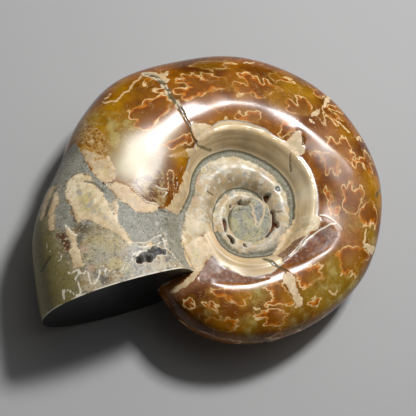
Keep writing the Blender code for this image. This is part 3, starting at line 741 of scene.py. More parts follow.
PITS: tuple[Points, ...] = (
    # Open chambers in the inner whorls.
    ((-1.8, 3.1), (-1.2, 3.6), (-0.9, 3.9), (-0.5, 3.4), (0.2, 3.2), (0.4, 3), (-0.6, 2.9), (-1.5, 3)),
    ((-4.9, -1.1), (-4.4, -0.9), (-3.9, -1.3), (-3.8, -2.4), (-3.9, -3.4), (-4.1, -4.1), (-4.5, -4.2),
     (-4.6, -3.3), (-4.8, -2.2)),
    ((-4.2, -4.7), (-3.4, -4.6), (-2.8, -5), (-2.4, -5.6), (-2.4, -6.3), (-2.8, -6.7), (-3.3, -6.3),
     (-3.5, -5.6), (-4, -5.1)),
    ((-0.9, -6.6), (-0.7, -6.1), (-0.3, -6.2), (0, -7), (-0.1, -7.1), (-0.6, -6.9)),
    ((3.7, 5.1), (4.4, 5.4), (5.1, 5.3), (5.1, 4.7), (4.8, 4), (4.5, 3.4), (4.2, 3.7), (3.9, 4.4)),
    ((5, 1.7), (5.5, 1.9), (5.9, 1.6), (6, 0.6), (6.1, -0.5), (6.6, -1), (6.7, -1.9), (6.2, -2.3),
     (5.9, -1.9), (5.7, -2.6), (5.1, -3.3), (4.5, -4.2), (4, -4.3), (3.8, -3.9), (4.3, -3.4), (5, -2.4),
     (5.3, -1.2), (5.4, 0), (5.4, 1), (5.1, 1.4)),
    ((-3.5, 2.1), (-3, 2.3), (-2.7, 1.9), (-3.2, 1.6)),
    # Holes in the matrix beside the aperture.
    ((-24.9, -15.8), (-24, -15.6), (-23.4, -14.8), (-22.9, -14.3), (-22.8, -15.2), (-22.6, -16),
     (-22.9, -16.4), (-23.8, -16.4), (-24.2, -15.9)),
    ((-22.1, -14.3), (-21.2, -14.2), (-20.8, -14.9), (-20.9, -15.7), (-21.5, -16), (-22, -15.6)),
    ((-21.8, -13.2), (-21, -12.9), (-20.2, -12.3), (-20.1, -12.7), (-21, -13.5), (-21.8, -13.8)),
    ((-19, -12.4), (-18.6, -12.3), (-18.2, -13), (-18, -13.6), (-18.5, -13.6), (-18.9, -13.1)),
    ((-22.4, -6.4), (-22, -6.2), (-21.6, -6.4), (-21.8, -6.8), (-22.3, -6.8)),
    ((-20.1, -6.9), (-19.8, -6.7), (-19.5, -7), (-19.8, -7.3)),
    ((-18.4, -8.8), (-18.1, -8.6), (-17.8, -8.9), (-18.1, -9.2)),
)


# Where a leaf runs out into the ground instead of ending at a line.
GAPS: tuple[Patch, ...] = patches(
    (-5.2, 26.2, 1.8), (5.3, 26.3, 1.5), (3, 24.9, 1.1), (-11, 30.6, 3), (-7.6, 32.4, 3), (5, 30.6, 1.6),
    (10, 21.9, 1.5), (12.2, 22.4, 1.2), (20.6, 26.4, 1.6), (18.4, 13.4, 2), (0.6, 18.9, 1.6),
    (8.2, 17, 0.9), (-17.2, 19, 1.4), (20.6, 1, 1.3), (25, 5, 1.8), (24, -8.6, 2.2), (13, -13.4, 1.6),
    (-2.6, -18.2, 1.8), (8, -22.4, 2), (-6, -24, 2.4), (26.6, 14.8, 1.6), (12.6, 14.2, 0.8),
    (7, -17.6, 1.4), (-4.6, 24.4, 0.8),
)

# A small round pit on the second whorl.
EYE = Stroke(((6.35, 6.3), (6.45, 6.35)), 0.0, 0.0)

FILLING: Points = (
    (-3.1, -1.2), (-3.0, 0.2), (-2.8, 1.4), (-2.2, 2.3), (-1.0, 2.6), (0.3, 2.6), (0.8, 3.2),
    (0.9, 4.2), (1.6, 4.5), (2.6, 4.5), (3.6, 3.9), (4.4, 3.0), (4.9, 1.8), (5.1, 0.2),
    (4.9, -1.6), (4.3, -3.1), (3.2, -4.6), (1.7, -5.3), (0.0, -5.5), (-1.8, -4.8), (-2.8, -3.2),
)

LOOP: Points = (
    (0.5, 3.9), (1.1, 4.4), (2.0, 4.3), (2.7, 3.9), (3.3, 3.4), (3.8, 2.8), (3.9, 1.5),
    (3.6, 0.2), (3.1, -0.9), (2.6, -1.8), (2.2, -1.6), (2.2, -0.5), (1.9, 0.4), (1.5, 0.9),
    (1.6, 1.5), (1.6, 2.1), (1.2, 2.7), (0.7, 3.2),
)

WORN: tuple[Points, ...] = (
    ((14.3, -1.9), (15.2, -1.3), (16.5, -1.8), (17.2, -2.6), (17.9, -3.2), (17.6, -4.2), (16.8, -5.2),
     (16.1, -6.3), (15, -7.4), (13, -8.6), (11, -9.5), (9, -10.4), (7.2, -11.3), (6.4, -10.6),
     (6.4, -9.8), (5.9, -9.2), (5.7, -8.4), (6.8, -7.2), (8, -6.2), (9, -5.2), (10, -4.5), (11.5, -4.2),
     (13, -3.2)),
    ((-8, -10.3), (-7, -11.2), (-6.1, -12.1), (-4.6, -12.7), (-3.2, -13.3), (-1.8, -13.9), (-0.4, -14.2),
     (1.2, -14.4), (2.8, -14.1), (3.4, -14.3), (1, -15.2), (-1.5, -16), (-5, -16.2), (-8, -16.3),
     (-9.6, -16.9), (-10.4, -16.9), (-10.6, -15.3), (-10.2, -13.8), (-9.3, -12)),
)

MOTTLED: tuple[Points, ...] = (
    ((-34, 16.1), (-33.2, 14.1), (-32.1, 12.8), (-30.9, 11.4), (-30, 9.6), (-29.6, 7.6), (-29.8, 5.8),
     (-31.5, 6), (-32.3, 7), (-33.2, 8), (-34.4, 9), (-35.3, 10.2), (-35.4, 11.8), (-34.7, 13.6)),
    ((-26, 0.6), (-24.5, 1.6), (-22, 3), (-20, 4.4), (-18.6, 4.6), (-18.2, 2.6), (-18, 0.8),
     (-17.8, -1.2), (-18.4, -3.2), (-19.4, -3.3), (-21, -2.9), (-22.5, -2.6), (-23.8, -1.7),
     (-25, -0.4)),
)

ROCK: Points = (
    (-50.0, -32.0), (-9.0, -13.0), (-12.4, -8.0), (-13.2, -4.0), (-14.5, -2.6), (-17.0, -3.4),
    (-19.6, -3.6), (-21.0, -3.2), (-23.6, -2.0), (-25.6, -0.4), (-28.0, 0.4), (-29.6, -0.4),
    (-30.6, 0.6), (-32.0, 1.6), (-32.8, 3.2), (-34.0, 6.0), (-35.4, 9.4), (-50.0, 9.0),
)

RUST: tuple[Points, ...] = (
    ((-38.4, -10.6), (-37.4, -10.5), (-36.8, -11.3), (-36.2, -12.5), (-36, -13.6), (-36.4, -14.3),
     (-37.1, -13.8), (-37.6, -12.6), (-38, -11.6)),
)

# Edge of the nacre round the umbilicus: direction in degrees, share of the keel radius.
NACRE_EDGE = (
    (-151, 0.50), (-115, 0.525), (-90, 0.55), (-70, 0.54), (-58, 0.50), (-30, 0.47), (0, 0.47),
    (21, 0.469), (50, 0.466), (74, 0.469), (90, 0.487), (116, 0.497), (135, 0.44), (150, 0.40),
    (165, 0.383), (180, 0.40), (210, 0.41),
)

# Width in millimetres of the matrix that fills the outer seam, by direction in degrees.
SEAM_BAND = (
    (-151, 1.3), (-90, 1.1), (-60, 1.3), (-30, 1.2), (0, 1.1), (20, 1.5), (45, 1.9), (60, 1.9),
    (90, 1.5), (110, 1.3), (135, 1.2), (160, 1.3), (180, 1.3), (210, 1.3),
)

TINTS: dict[str, tuple[Patch, ...]] = {
    # Painted highlight: a pale patch on the left flank where the soft box's reflection lies.
    "bright": patches(
        (-23.6, 6.4, 4.2, 0.85), (-19.6, 11.4, 3, 0.6), (-26.4, 3.6, 2.8, 0.7), (-16.4, 15, 2, 0.3),
    ),
    "pale": patches(
        (-35.8, -2, 2.8), (-35.8, 1.2, 1.6), (-32, -4.6, 3, 0.7), (-35, -14, 2.4, 0.5),
        (-27.4, -7, 1.6, 0.8), (-12.4, -6, 2.4, 0.8), (12.4, -1.8, 2.2), (12.2, 5.4, 2.6, 0.9),
        (10.4, 10.4, 2, 0.4), (0, 11.6, 1.8, 0.7), (7.4, 8.6, 1.5, 0.5), (-12, -3.6, 1.8, 0.6),
        (12.4, 5, 1.6, 0.4), (4, 10.6, 1.4, 0.5), (-5, 10.4, 1.6, 0.5),
    ),
    # Painted shade in the holes of the matrix.
    "cave_shade": patches(
        (-23.4, -15.2, 1.5), (-21.4, -14.6, 1.4), (-20.3, -12.9, 1.2, 0.9), (-18.5, -12.9, 0.9),
        (-36.6, -9.4, 0.8, 0.8), (-22, -6.6, 0.8, 0.7), (-30.6, -0.6, 1.4, 0.8),
        (-16.8, -10.6, 0.8, 0.6),
    ),
    "gold": patches(
        (-28.5, 17.6, 1.9, 0.9), (-27.2, 23, 1.2, 0.8), (-26.2, 25.2, 1.2, 0.6), (-31.5, 9, 3, 0.6),
        (8.5, 28.6, 3.6), (12.2, 27.6, 2.6), (4, 25.2, 2, 0.6), (5.5, 23, 1.6, 0.5),
        (26.4, 8.6, 3.2, 0.9), (27.5, 5, 2, 0.5), (7.4, 19.3, 0.9, 0.8), (-15, 8.6, 1.9, 1.2),
        (-12, 25.6, 2.4, 0.5), (13.6, -12.2, 1.2, 0.5), (7, -18.6, 1.4, 0.5), (-24, 22, 2.4, 0.4),
        (-1.6, -19.8, 1, 0.6), (-29.4, 15.4, 2.6, 0.7), (-27, 20.4, 2.2, 0.5), (-2.4, 22.6, 2.2, 0.4),
        (20.4, 19, 2, 0.5), (-32.4, 11, 1.6, 0.8), (-33, 8.6, 1.4, 0.6), (-31, 12, 1.6, 0.8),
        (-31.6, 8.4, 1.6, 0.5), (-30.6, 5.6, 1.4, 0.45), (-29.6, 3.4, 1.2, 0.35),
    ),
    "olive": patches(
        (-27.6, 9, 3.6, 0.9), (-30.4, 12, 3, 0.8), (-25, 12.6, 2.6, 0.4), (-23.4, 5.4, 3, 0.5),
        (-32.4, 15, 2.4, 0.7), (-21.5, 1, 2.6, 0.6), (-27.5, 12.6, 3, 0.7), (-30.6, 14.6, 1.8, 0.6),
        (19.5, -13.5, 4.6), (22.5, -12, 3, 0.8), (15.5, -16.5, 3.2, 0.9), (11.6, -16.6, 1.8, 0.9),
        (0.8, -18.2, 2, 0.9), (0.4, -24, 2.2), (-8.8, -21.6, 1.6, 0.6), (25.6, -2, 1.9),
        (9.6, -20.6, 2.4, 0.7), (16.6, -10.6, 2.2, 0.7), (21, -1, 2.4, 0.4), (-33, 22, 2.4, 0.5),
        (-15, 32, 2, 0.4), (11.5, 29, 2, 0.4), (2, -17, 1.2, 0.6),
    ),
    "deep": patches(
        (-13, 30.4, 4.4, 0.9), (-8, 31.4, 3.4, 0.9), (16, 29, 1.8), (17, 24.4, 2.4, 0.9),
        (14.5, 20.6, 2, 0.5), (24.6, 16, 3.4, 0.8), (26.6, 18, 2.6, 0.8), (-10.4, -19.2, 2.6),
        (-8.6, -24.4, 3.2), (-13.6, -21, 2.2), (24.8, -6.2, 1.3), (14.6, 4.4, 1.2, 0.7),
        (15, 11.6, 1.8, 0.6), (12.2, 14.8, 1, 0.8), (26, 3.2, 1.5, 0.6), (-30.6, 21.6, 1.8, 0.7),
        (3.5, -24.6, 2.6, 0.7), (9.6, -22.6, 2.2, 0.7), (-22, 24.6, 0.9, 0.9), (-19.6, 22.4, 1, 0.9),
        (-14.6, 24, 0.9, 0.9), (-15.8, 21.2, 0.7, 0.8), (-13.4, 11.9, 1.4), (7, 16.8, 0.9, 0.7),
        (4, 30.4, 3.4, 0.9), (10.4, 24.4, 2.4, 0.9), (-12, 32, 3, 0.5), (10.4, 31.6, 2.4, 0.5),
        (2, 26, 1.6, 0.4), (-22.4, 16.4, 2.6, 0.6), (-23.4, 22.6, 2, 0.6), (-29.6, 14.6, 2.4, 0.4),
        (12.4, 30.6, 2, 0.5), (-26, 17.8, 1.4, 0.4), (23, -9, 1.6, 0.4), (0.5, 31.5, 2, 0.3),
        (-4.6, 21.8, 1.6, 0.3), (28.6, 12, 1.6, 0.7), (-16.9, 2.6, 1.2, 0.9),
    ),
    # Rosy tone, partly a painted sheen around the highlights.
    "rosy": patches(
        (20.6, 14.6, 2.6, 0.8), (21.6, 6, 3, 0.7), (16.4, 18.6, 2.4, 0.6), (18.6, 10.4, 2.6, 0.25),
        (-1, 19.8, 2.6, 0.6), (-10, 17.8, 2.2, 0.6), (-16.4, 13.4, 2.4, 0.6), (-21.6, 14.8, 1.6, 0.7),
        (20, -4.6, 2.6, 0.6), (12, -4.8, 3, 0.4), (-8.6, -14.6, 2.2), (-11.6, -17.6, 1.6),
        (-14.4, -18.6, 1.8), (5.8, -20.8, 0.9, 0.9), (10, 22.6, 1.6, 0.4), (20.5, -8, 1.8, 0.3),
        (9.6, -12.6, 1.4, 0.4), (-2, 24, 2, 0.4),
    ),
    "green": patches(
        (-41, -12, 3.6), (-39.6, -18, 4), (-38, -23, 3.4), (-42, -7, 2.4), (-36.6, -20, 2, 0.7),
        (-42, -20, 4), (-35.6, -23.6, 1.8, 0.5),
    ),
    "umber": patches(
        (-33.4, -9.8, 1.8, 0.7), (-30.4, -10.4, 1.6, 0.5), (-27, -13.6, 1.6, 0.4),
        (-34.4, -10, 1.4, 0.6), (-21.6, -14.9, 0.9, 0.8), (-29.2, -20.4, 1, 0.7),
        (-33.8, -5.6, 1.2, 0.3),
    ),
    "blue": patches(
        (-31, -13.9, 1.7), (-24.6, -14, 1.5, 0.9), (-29.4, -15.8, 1.4, 0.6), (-17, -6.6, 2.4, 0.9),
        (-6, 8.3, 1.3, 0.8), (6.9, 2.6, 1.1, 0.8), (4.9, -6.6, 1.7, 0.8), (1, -7.4, 1.3, 0.8),
        (-11.2, -6.6, 0.8, 0.5), (10.6, 5.4, 0.9, 0.8), (2.6, 2.4, 1.2), (-4.4, -1.7, 0.6, 0.8),
        (3, 9, 1.1, 0.5), (-2.6, 4.3, 0.9, 0.7), (7.4, -2.6, 1.6, 0.6), (-33, -8.6, 0.7, 0.9),
    ),
    "yellow": patches(
        (-31, -12.6, 2.6, 0.7), (-27.4, -11.8, 2.2, 0.6), (-33.4, -16.4, 1.6, 0.5),
        (-25.6, -9, 1.4, 0.6), (-27.9, -17, 1.5), (-9.5, 7.6, 0.8, 0.9), (-12.8, -3, 0.8, 0.6),
        (-11.5, 5.2, 0.7, 0.9), (-6.1, 0.4, 0.5, 0.9), (-9.3, 9.5, 0.8, 0.6), (-33.4, -5.4, 1.6, 0.5),
        (-31, -17.6, 0.7, 0.8), (-25.4, -17.8, 1, 0.5), (-5.8, 0.5, 0.6, 0.7), (3.4, 11.4, 0.8, 0.5),
        (-3.6, 1.3, 0.7), (2, -5.7, 0.8, 0.7), (-21, -12, 0.8, 0.6),
    ),
    "pink": patches(
        (-12, -4.5, 1.2), (-11.4, -2.6, 0.8, 0.8), (-10.6, 5.6, 0.8, 0.7), (3.6, 10.4, 1.2, 0.6),
        (-2.3, -8.8, 0.9, 0.8), (-11.2, 1.4, 0.8, 0.5), (4.2, 8.2, 1, 0.5), (-33.6, -14, 0.7),
        (-32.2, -17.9, 0.8), (-23, -4.2, 1.8, 0.5), (-36.8, -3, 0.8, 0.5), (-26.6, -1.6, 1.4, 0.6),
        (-6, -7.4, 1.4, 0.5), (12.4, 4, 1.4, 0.4), (8.4, -16.4, 1.2, 0.5), (-31, 5, 1.6, 0.5),
    ),
    # Tan: painted shade on the walls of the whorls.
    "tan": patches(
        (-1, 14.6, 3.2, 0.6), (-5.6, 13.6, 2.2, 0.7), (4.4, 13.6, 1.8, 0.6), (-13.2, 6, 2, 0.4),
        (-12.4, 9.4, 1.4, 0.5), (-7.9, 1, 1.3), (-6, 6.2, 1.4), (-7.9, -2, 1.3), (-7.4, 4, 1.2, 0.9),
        (-3.6, 7.2, 1.3), (2.4, 7.2, 1.2), (4.6, 5.6, 0.8, 0.7), (9.2, 10.6, 0.8, 0.6),
        (10.2, 9, 0.8, 0.5), (0.4, -12.2, 2.2, 0.4), (0.6, 3.7, 0.5), (5.3, 2.4, 0.6, 0.8),
    ),
    "honey": patches(
        (-1, -11.4, 3.4), (-5.6, -9.4, 2.2, 0.9), (3, -12, 1.6, 0.8), (5.4, -8.6, 1.4, 0.6),
        (11.8, -1.6, 1.8, 0.2), (4.4, -4.6, 1, 0.6), (-10.6, 13.6, 1.8, 0.5), (12.6, 7.4, 1.4, 0.4),
        (-14.8, 0, 1.8, 0.5), (-13, 8.2, 1.2, 0.5), (9, 15.6, 1.4, 0.4), (0.4, 15, 3.4, 0.7),
        (-0.4, 7.6, 1.8, 0.7), (-7.2, 2.6, 1.6, 0.6), (-8.2, -3, 1.4, 0.5),
    ),
}

FIELD_REACH = 3.0


def _near(flat: np.ndarray, points: np.ndarray) -> np.ndarray:
    """Finds the places that lie close enough to a line to be measured from it.

    Args:
        flat: All places, seen from above.
        points: The points of the line.

    Returns:
        The rows of those places.
    """
    low, high = points.min(0) - FIELD_REACH, points.max(0) + FIELD_REACH
    return np.nonzero(((flat > low) & (flat < high)).all(1))[0]


def outline_field(flat: np.ndarray, outlines: tuple[Points, ...]) -> np.ndarray:
    """Measures each place from the nearest outline.

    Args:
        flat: Places seen from above.
        outlines: Closed outlines.

    Returns:
        The distances, negative inside an outline.
    """
    gap_field = np.full(len(flat), FIELD_REACH)
    for outline in outlines:
        points = np.array(outline)
        near = _near(flat, points)
        place = flat[near]
        gap = np.full(len(near), FIELD_REACH)
        inside = np.zeros(len(near), dtype=bool)
        for start, end in zip(points, np.roll(points, -1, 0)):
            gap = np.minimum(gap, _segment_gap(place, start, end)[0])
            crosses = (start[1] > place[:, 1]) != (end[1] > place[:, 1])
            rise = end[1] - start[1] if end[1] != start[1] else 1.0
            at = start[0] + (place[:, 1] - start[1]) / rise * (end[0] - start[0])
            inside ^= crosses & (place[:, 0] < at)
        gap_field[near] = np.minimum(gap_field[near], np.where(inside, -gap, gap))
    return gap_field


def stroke_field(flat: np.ndarray, strokes: tuple[Stroke, ...]) -> np.ndarray:
    """Measures each place from the edge of the nearest stroke.

    Args:
        flat: Places seen from above.
        strokes: Lines with a width.

    Returns:
        The distances, negative on a stroke.
    """
    gap_field = np.full(len(flat), FIELD_REACH)
    for stroke in strokes:
        points = np.array(stroke.points)
        near = _near(flat, points)
        spans = len(points) - 1
        for index in range(spans):
            gap, along = _segment_gap(flat[near], points[index], points[index + 1])
            share = (index + along) / spans
            width = stroke.start + (stroke.end - stroke.start) * share
            gap_field[near] = np.minimum(gap_field[near], gap - width)
    return gap_field


def _segment_gap(
    place: np.ndarray, start: np.ndarray, end: np.ndarray
) -> tuple[np.ndarray, np.ndarray]:
    """Measures places from a straight line between two points.

    Args:
        place: Places seen from above.
        start: The line's first point.
        end: The line's last point.

    Returns:
        The distance of each place, and how far along the line it lies, from 0 to 1.
    """
    way = end - start
    along = np.clip((place - start) @ way / max(way @ way, 1e-12), 0.0, 1.0)
    return np.linalg.norm(place - start - along[:, None] * way, axis=1), along


class Grain:
    """Smooth three-dimensional noise from a seeded lattice."""

    cells = 32
    offset = 1000.0

    def __init__(self, seed: int) -> None:
        """Fills the lattice."""
        self.lattice = np.random.default_rng(seed).random((self.cells,) * 3)

    def at(self, place: np.ndarray, size: float) -> np.ndarray:
        """Works out the noise at some places.

        Args:
            place: Places as rows of three, in millimetres.
            size: How far across its features are.

        Returns:
            Values from -1 to 1.
        """
        scaled = place / size + self.offset
        cell = np.floor(scaled).astype(int)
        share = smooth(scaled - cell)
        total = np.zeros(len(place))
        for corner in np.ndindex(2, 2, 2):
            weight = np.prod(np.where(np.array(corner), share, 1 - share), axis=1)
            i, j, k = ((cell + corner) % self.cells).T
            total += weight * self.lattice[i, j, k]
        return total * 2 - 1


# Gentle bulges and hollows of the flank: middle, reach and height in millimetres.
BULGES: tuple[Patch, ...] = patches(
    (-24, 8, 7, -0.36), (-27, 3, 5, -0.14), (-30.5, 12.5, 6, 0.6), (23, 13.5, 6, 0.2), (20, -9, 5, 0.10),
    (3, -22, 5, 0.10), (-28, -12, 6, 0.12), (-20, -9, 4, -0.15), (-5, -13.4, 2.6, -0.36),
    (-0.8, -13.6, 2.2, -0.26), (-8.4, -12, 2.4, -0.30), (9.4, -7.6, 2.8, -0.34),
    (13.4, -4.4, 2.6, -0.32), (24.2, 9.2, 7, 0.9), (19.4, 1.4, 5, -0.36),
)

# A low ridge where the flank turns over, on the near side.
RIDGE: Stroke = Stroke(
    ((18.7, -2.0), (17.8, -4.4), (16.5, -6.7), (14.3, -8.6), (10.3, -10.7), (7.7, -12.1),
     (4.0, -14.4), (0.0, -16.0), (-4.0, -17.4), (-8.0, -17.2)), 0.0, 0.0
)

# A soft crest on the far flank.
CREST: Stroke = Stroke(
    ((11.0, 19.2), (13.0, 18.0), (15.4, 16.2), (17.6, 14.4), (19.4, 12.4), (20.6, 10.4)), 0.0, 0.0
)

# Where the polish is satin rather than bright.
SATIN: tuple[Patch, ...] = patches(
    (-24, 7.5, 7), (-21.6, 5.4, 3, 0.7), (-28, 0, 4), (-18, 13, 4, 0.4), (-9, 20, 4, 0.2),
    (14.2, 16.4, 3.4, 0.9), (17.4, 12, 3, 2), (21.8, 4.6, 4.6, 1.6), (18, 0, 3), (22, 0, 5, 1.4),
    (-9.4, -13, 2.6, 1.6), (-8, -20, 3, 0.5), (-10, 0, 5), (-7, -7, 4), (0, -10, 4), (9, -5, 3, 0.6),
    (-4, -16.4, 3, 0.6), (2, -15.4, 3, 0.6), (8, -12, 2.6, 0.6), (13, -9.4, 2.6, 0.8),
    (17, -5.4, 2.6, 1.4), (19.4, 9.4, 2.2, 1.6), (9.6, -1, 3.4), (1.4, 9.4, 4.4, -1.2),
    (6.6, 4.6, 2, -0.8),
)


OUTLINED: dict[str, tuple[Points, ...]] = {
    "leaf": LEAVES, "flake": FLAKES, "matrix": MATRIX, "pit": PITS, "filling": (FILLING,),
    "loop": (LOOP,), "worn": WORN, "mottled": MOTTLED, "rock": (ROCK,), "rust": RUST,
}

STROKED: dict[str, tuple[Stroke, ...]] = {
    "suture": SUTURES, "white": WHITE_LINES, "vein": VEINS, "crack": CRACK, "eye": (EYE,),
}


@dataclass(frozen=True)
class Work:
    """How a marking stands out of the skin, in millimetres: its ease, its level and its bumps."""

    ease: float
    level: float = 0.0
    middle: float = 0.0
    fine: float = 0.0


WORKED: dict[str, Work] = {
    "rock": Work(0.6, 0.0, 0.03, 0.015),
    "matrix": Work(0.3, -0.06, 0.03, 0.03),
    "flake": Work(0.3, 0.05),
    "worn": Work(0.9, -0.07, 0.04),
    "vein": Work(0.3, -0.12),
    "white": Work(0.3, 0.02),
}

# Half width and depth in millimetres of the round-edged grooves.
GROOVES: dict[str, tuple[float, float]] = {"crack": (0.3, 0.12), "eye": (0.45, 0.22)}


class Relief:
    """Works the smooth shell over: inner whorls, filled seams, open chambers, worn places.

    Heights and reaches are in millimetres, directions in degrees from the coil axis.
    """

    noise_seed = 7
    noise_sizes = (0.55, 1.3, 2.4, 4.5)
    noise_height = 0.03
    nacre_bumps = (0.04, 0.07)
    nacre_ease = 1.0
    outer_calm = 0.4
    filling_level = 1.9
    filling_slope = (0.07, 0.10)
    filling_ease = 0.6
    chamber_depth = 0.9
    chamber_reach = 9
    hole_depth = 0.4
    hole_ease = 0.35
    seam_fill = 0.34
    seam_reach = 1.3
    full_size_at = 14
    least_size = 0.15
    crest_lift = 0.020
    crest_place = 0.52
    crest_width = 0.09
    wall_reach = 1.4
    shoulder_lift = 0.3
    shoulder_place = 0.442
    shoulder_width = 0.75
    shoulder_end = 140
    near_ridge = (0.16, 2.3)
    far_crest = (0.14, 1.6)
    lower_turn = math.radians(28.0)
    lower_ease = 0.14
    rim_level = 0.70
    rim_start = 0.13
    rim_pace = 0.84
    cut_rock = 0.3
    inner_satin = 0.8
    most_satin = 2.2
    seam_span = 4
    lip_turn = 0.06

    def __init__(self, form: CoilForm, mesh: bpy.types.Mesh) -> None:
        """Reads what the sheets stored.

        Args:
            form: The coil.
            mesh: The closed shell, in the coil's frame.
        """
        self.form = form
        self.mesh = mesh
        self.place = places(mesh) / MM
        self.upper = self._read("side") > 0
        self.across = self._read("across")
        self.turn = self._read("turn")
        self.seam = self._read("seam")
        self.outer = self.turn < 1
        self.angle = form.aperture - self.turn * FULL_TURN
        self.radius = form.radius(self.angle)
        self.shift = self.lower_turn * smooth((1 - self.across) / self.lower_ease) * ~self.upper
        self.flat = self._plan()

    def apply(self) -> None:
        """Writes the shell's fields and moves its vertices."""
        fields = self._fields()
        for name, values in fields.items():
            store(self.mesh, name, values)
        normals = np.empty(len(self.place) * 3)
        self.mesh.vertex_normals.foreach_get("vector", normals)
        push = self._push(fields)
        moved = self.place + normals.reshape(-1, 3) * push[:, None]
        moved[:, 2] += self._rise(fields) * np.where(self.upper, 1, -1)
        fill = smooth(0.5 - fields["filling"] / self.filling_ease) * self.upper
        level = self.filling_level + self.place[:, :2] @ self.filling_slope + push
        moved[:, 2] += fill * (level - moved[:, 2])
        self.mesh.vertices.foreach_set("co", (moved * MM).ravel())
        self.mesh.update()

    def _read(self, name: str) -> np.ndarray:
        """Returns one number per vertex."""
        values = np.empty(len(self.mesh.vertices), dtype=np.float32)
        self.mesh.attributes[name].data.foreach_get("value", values)
        return values.astype(float)

    def _plan(self) -> np.ndarray:
        """Returns where each vertex reads the markings; the lower flank reads further along."""
        level = np.stack([self.across, np.zeros(len(self.across))], -1)
        further = self.form.points(self.angle + self.shift, level)[:, :2]
        return np.where(self.upper[:, None], self.place[:, :2], further)

    def _rim_leaves(self) -> np.ndarray:
        """Returns the leaf field of the rim, which reads the flank as if it were rolled over."""
        level = np.clip(self.rim_level - self.place[:, 2] / self.radius, 0.45, 0.98)
        turn = self.rim_start + self.rim_pace * self.turn
        angle = self.form.aperture - turn * FULL_TURN
        rolled = self.form.points(angle, np.stack([level, np.zeros(len(level))], -1))[:, :2]
        return outline_field(rolled, LEAVES)

    def _fields(self) -> dict[str, np.ndarray]:
        """Returns the distance and tint fields that shape and colour the shell."""
        fields = {name: outline_field(self.flat, outlines) for name, outlines in OUTLINED.items()}
        fields |= {name: stroke_field(self.flat, strokes) for name, strokes in STROKED.items()}
        rim = smooth((self.across - np.where(self.upper, 0.955, 0.93)) / 0.04) * self.outer
        fields["leaf"] += rim * (self._rim_leaves() - fields["leaf"])
        past_cut = (self.angle + self.shift - self.form.aperture) * self.radius
        fields["rock"] = np.minimum(fields["rock"], self.cut_rock - past_cut)
        fields.update(self._coil_fields())
        for name, tint in TINTS.items():
            fields[name] = np.clip(self._soft(tint), 0, 1)
        fields["gap"] = np.clip(self._soft(GAPS), 0, 1)
        satin = self._soft(SATIN) + self.inner_satin * ~self.outer
        fields["satin"] = np.clip(satin, 0, self.most_satin)
        fields["lip_highlight"] = self._lip()
        return fields

    def _coil_fields(self) -> dict[str, np.ndarray]:
        """Returns the fields that follow the coil: nacre, shoulder, seams and what fills them."""
        seam, far = self.seam, FIELD_REACH
        direction = np.degrees(self.angle) + 360 * np.floor(self.turn)
        edge = np.interp(direction, *np.array(NACRE_EDGE).T)
        nacre = np.clip((self.across - edge) * self.radius, -far, far)
        ridge = np.abs(self.across - self.shoulder_place) * self.radius
        ridge += far - far * window(direction, -10, 20, self.shoulder_end, 20)
        # On the inner whorls the dark seam band is widened on the shaded side, as painted shade.
        shaded = window(direction, -10, 40, 165, 30)
        width = np.interp(direction, *np.array(SEAM_BAND).T)
        width = np.where(self.turn < 2, width, 0.1 + 0.5 * shaded)
        band = np.where(seam < 0, -seam - width, seam * 2 - 0.3)
        wide_seam = np.where(self.turn < 2, seam, seam / 0.45)
        return {
            "nacre": np.where(self.outer, nacre, -far),
            "ridge": np.where(self.outer, np.clip(ridge, 0, far), far),
            "band": np.clip(band, -far, far),
            "seam": np.clip(wide_seam, -self.seam_span, self.seam_span),
        }

    def _lip(self) -> np.ndarray:
        """Returns the distance on the upper flank from the edge of the sawn face."""
        away = np.full(len(self.place), FIELD_REACH)
        cut = [
            corner
            for polygon in self.mesh.polygons
            if polygon.material_index
            for corner in polygon.vertices
        ]
        edge = self.place[np.unique(cut)]
        near = np.nonzero(self.upper & (self.turn < self.lip_turn))[0]
        gaps = self.place[near][:, None, :] - edge[None, :, :]
        away[near] = np.sqrt((gaps**2).sum(2)).min(1)
        return away

    def _soft(self, spots: tuple[Patch, ...]) -> np.ndarray:
        """Returns the sum of soft round patches at each vertex."""
        total = np.zeros(len(self.flat))
        for spot in spots:
            gap = self.flat - (spot.x, spot.y)
            total += spot.strength * np.exp(-(gap**2).sum(1) / spot.reach**2)
        return total

    def _push(self, fields: dict[str, np.ndarray]) -> np.ndarray:
        """Adds up what each marking does to the skin.

        Args:
            fields: The distance and tint fields.

        Returns:
            How far each vertex moves out along its normal, in millimetres.
        """
        grain = Grain(self.noise_seed)
        fine, middle, wide, coarse = (grain.at(self.place, size) for size in self.noise_sizes)
        push = self.noise_height * coarse
        bumpy = smooth(0.5 - fields["nacre"] / self.nacre_ease)
        bumpy *= np.where(self.outer, self.outer_calm, 1.0)
        push += bumpy * (self.nacre_bumps[0] * middle + self.nacre_bumps[1] * wide)
        for name, work in WORKED.items():
            inside = smooth(0.5 - fields[name] / work.ease)
            push += inside * (work.level + work.middle * middle + work.fine * fine)
        for name, (width, depth) in GROOVES.items():
            push -= np.exp(-((fields[name] / width) ** 2)) * depth
        return push

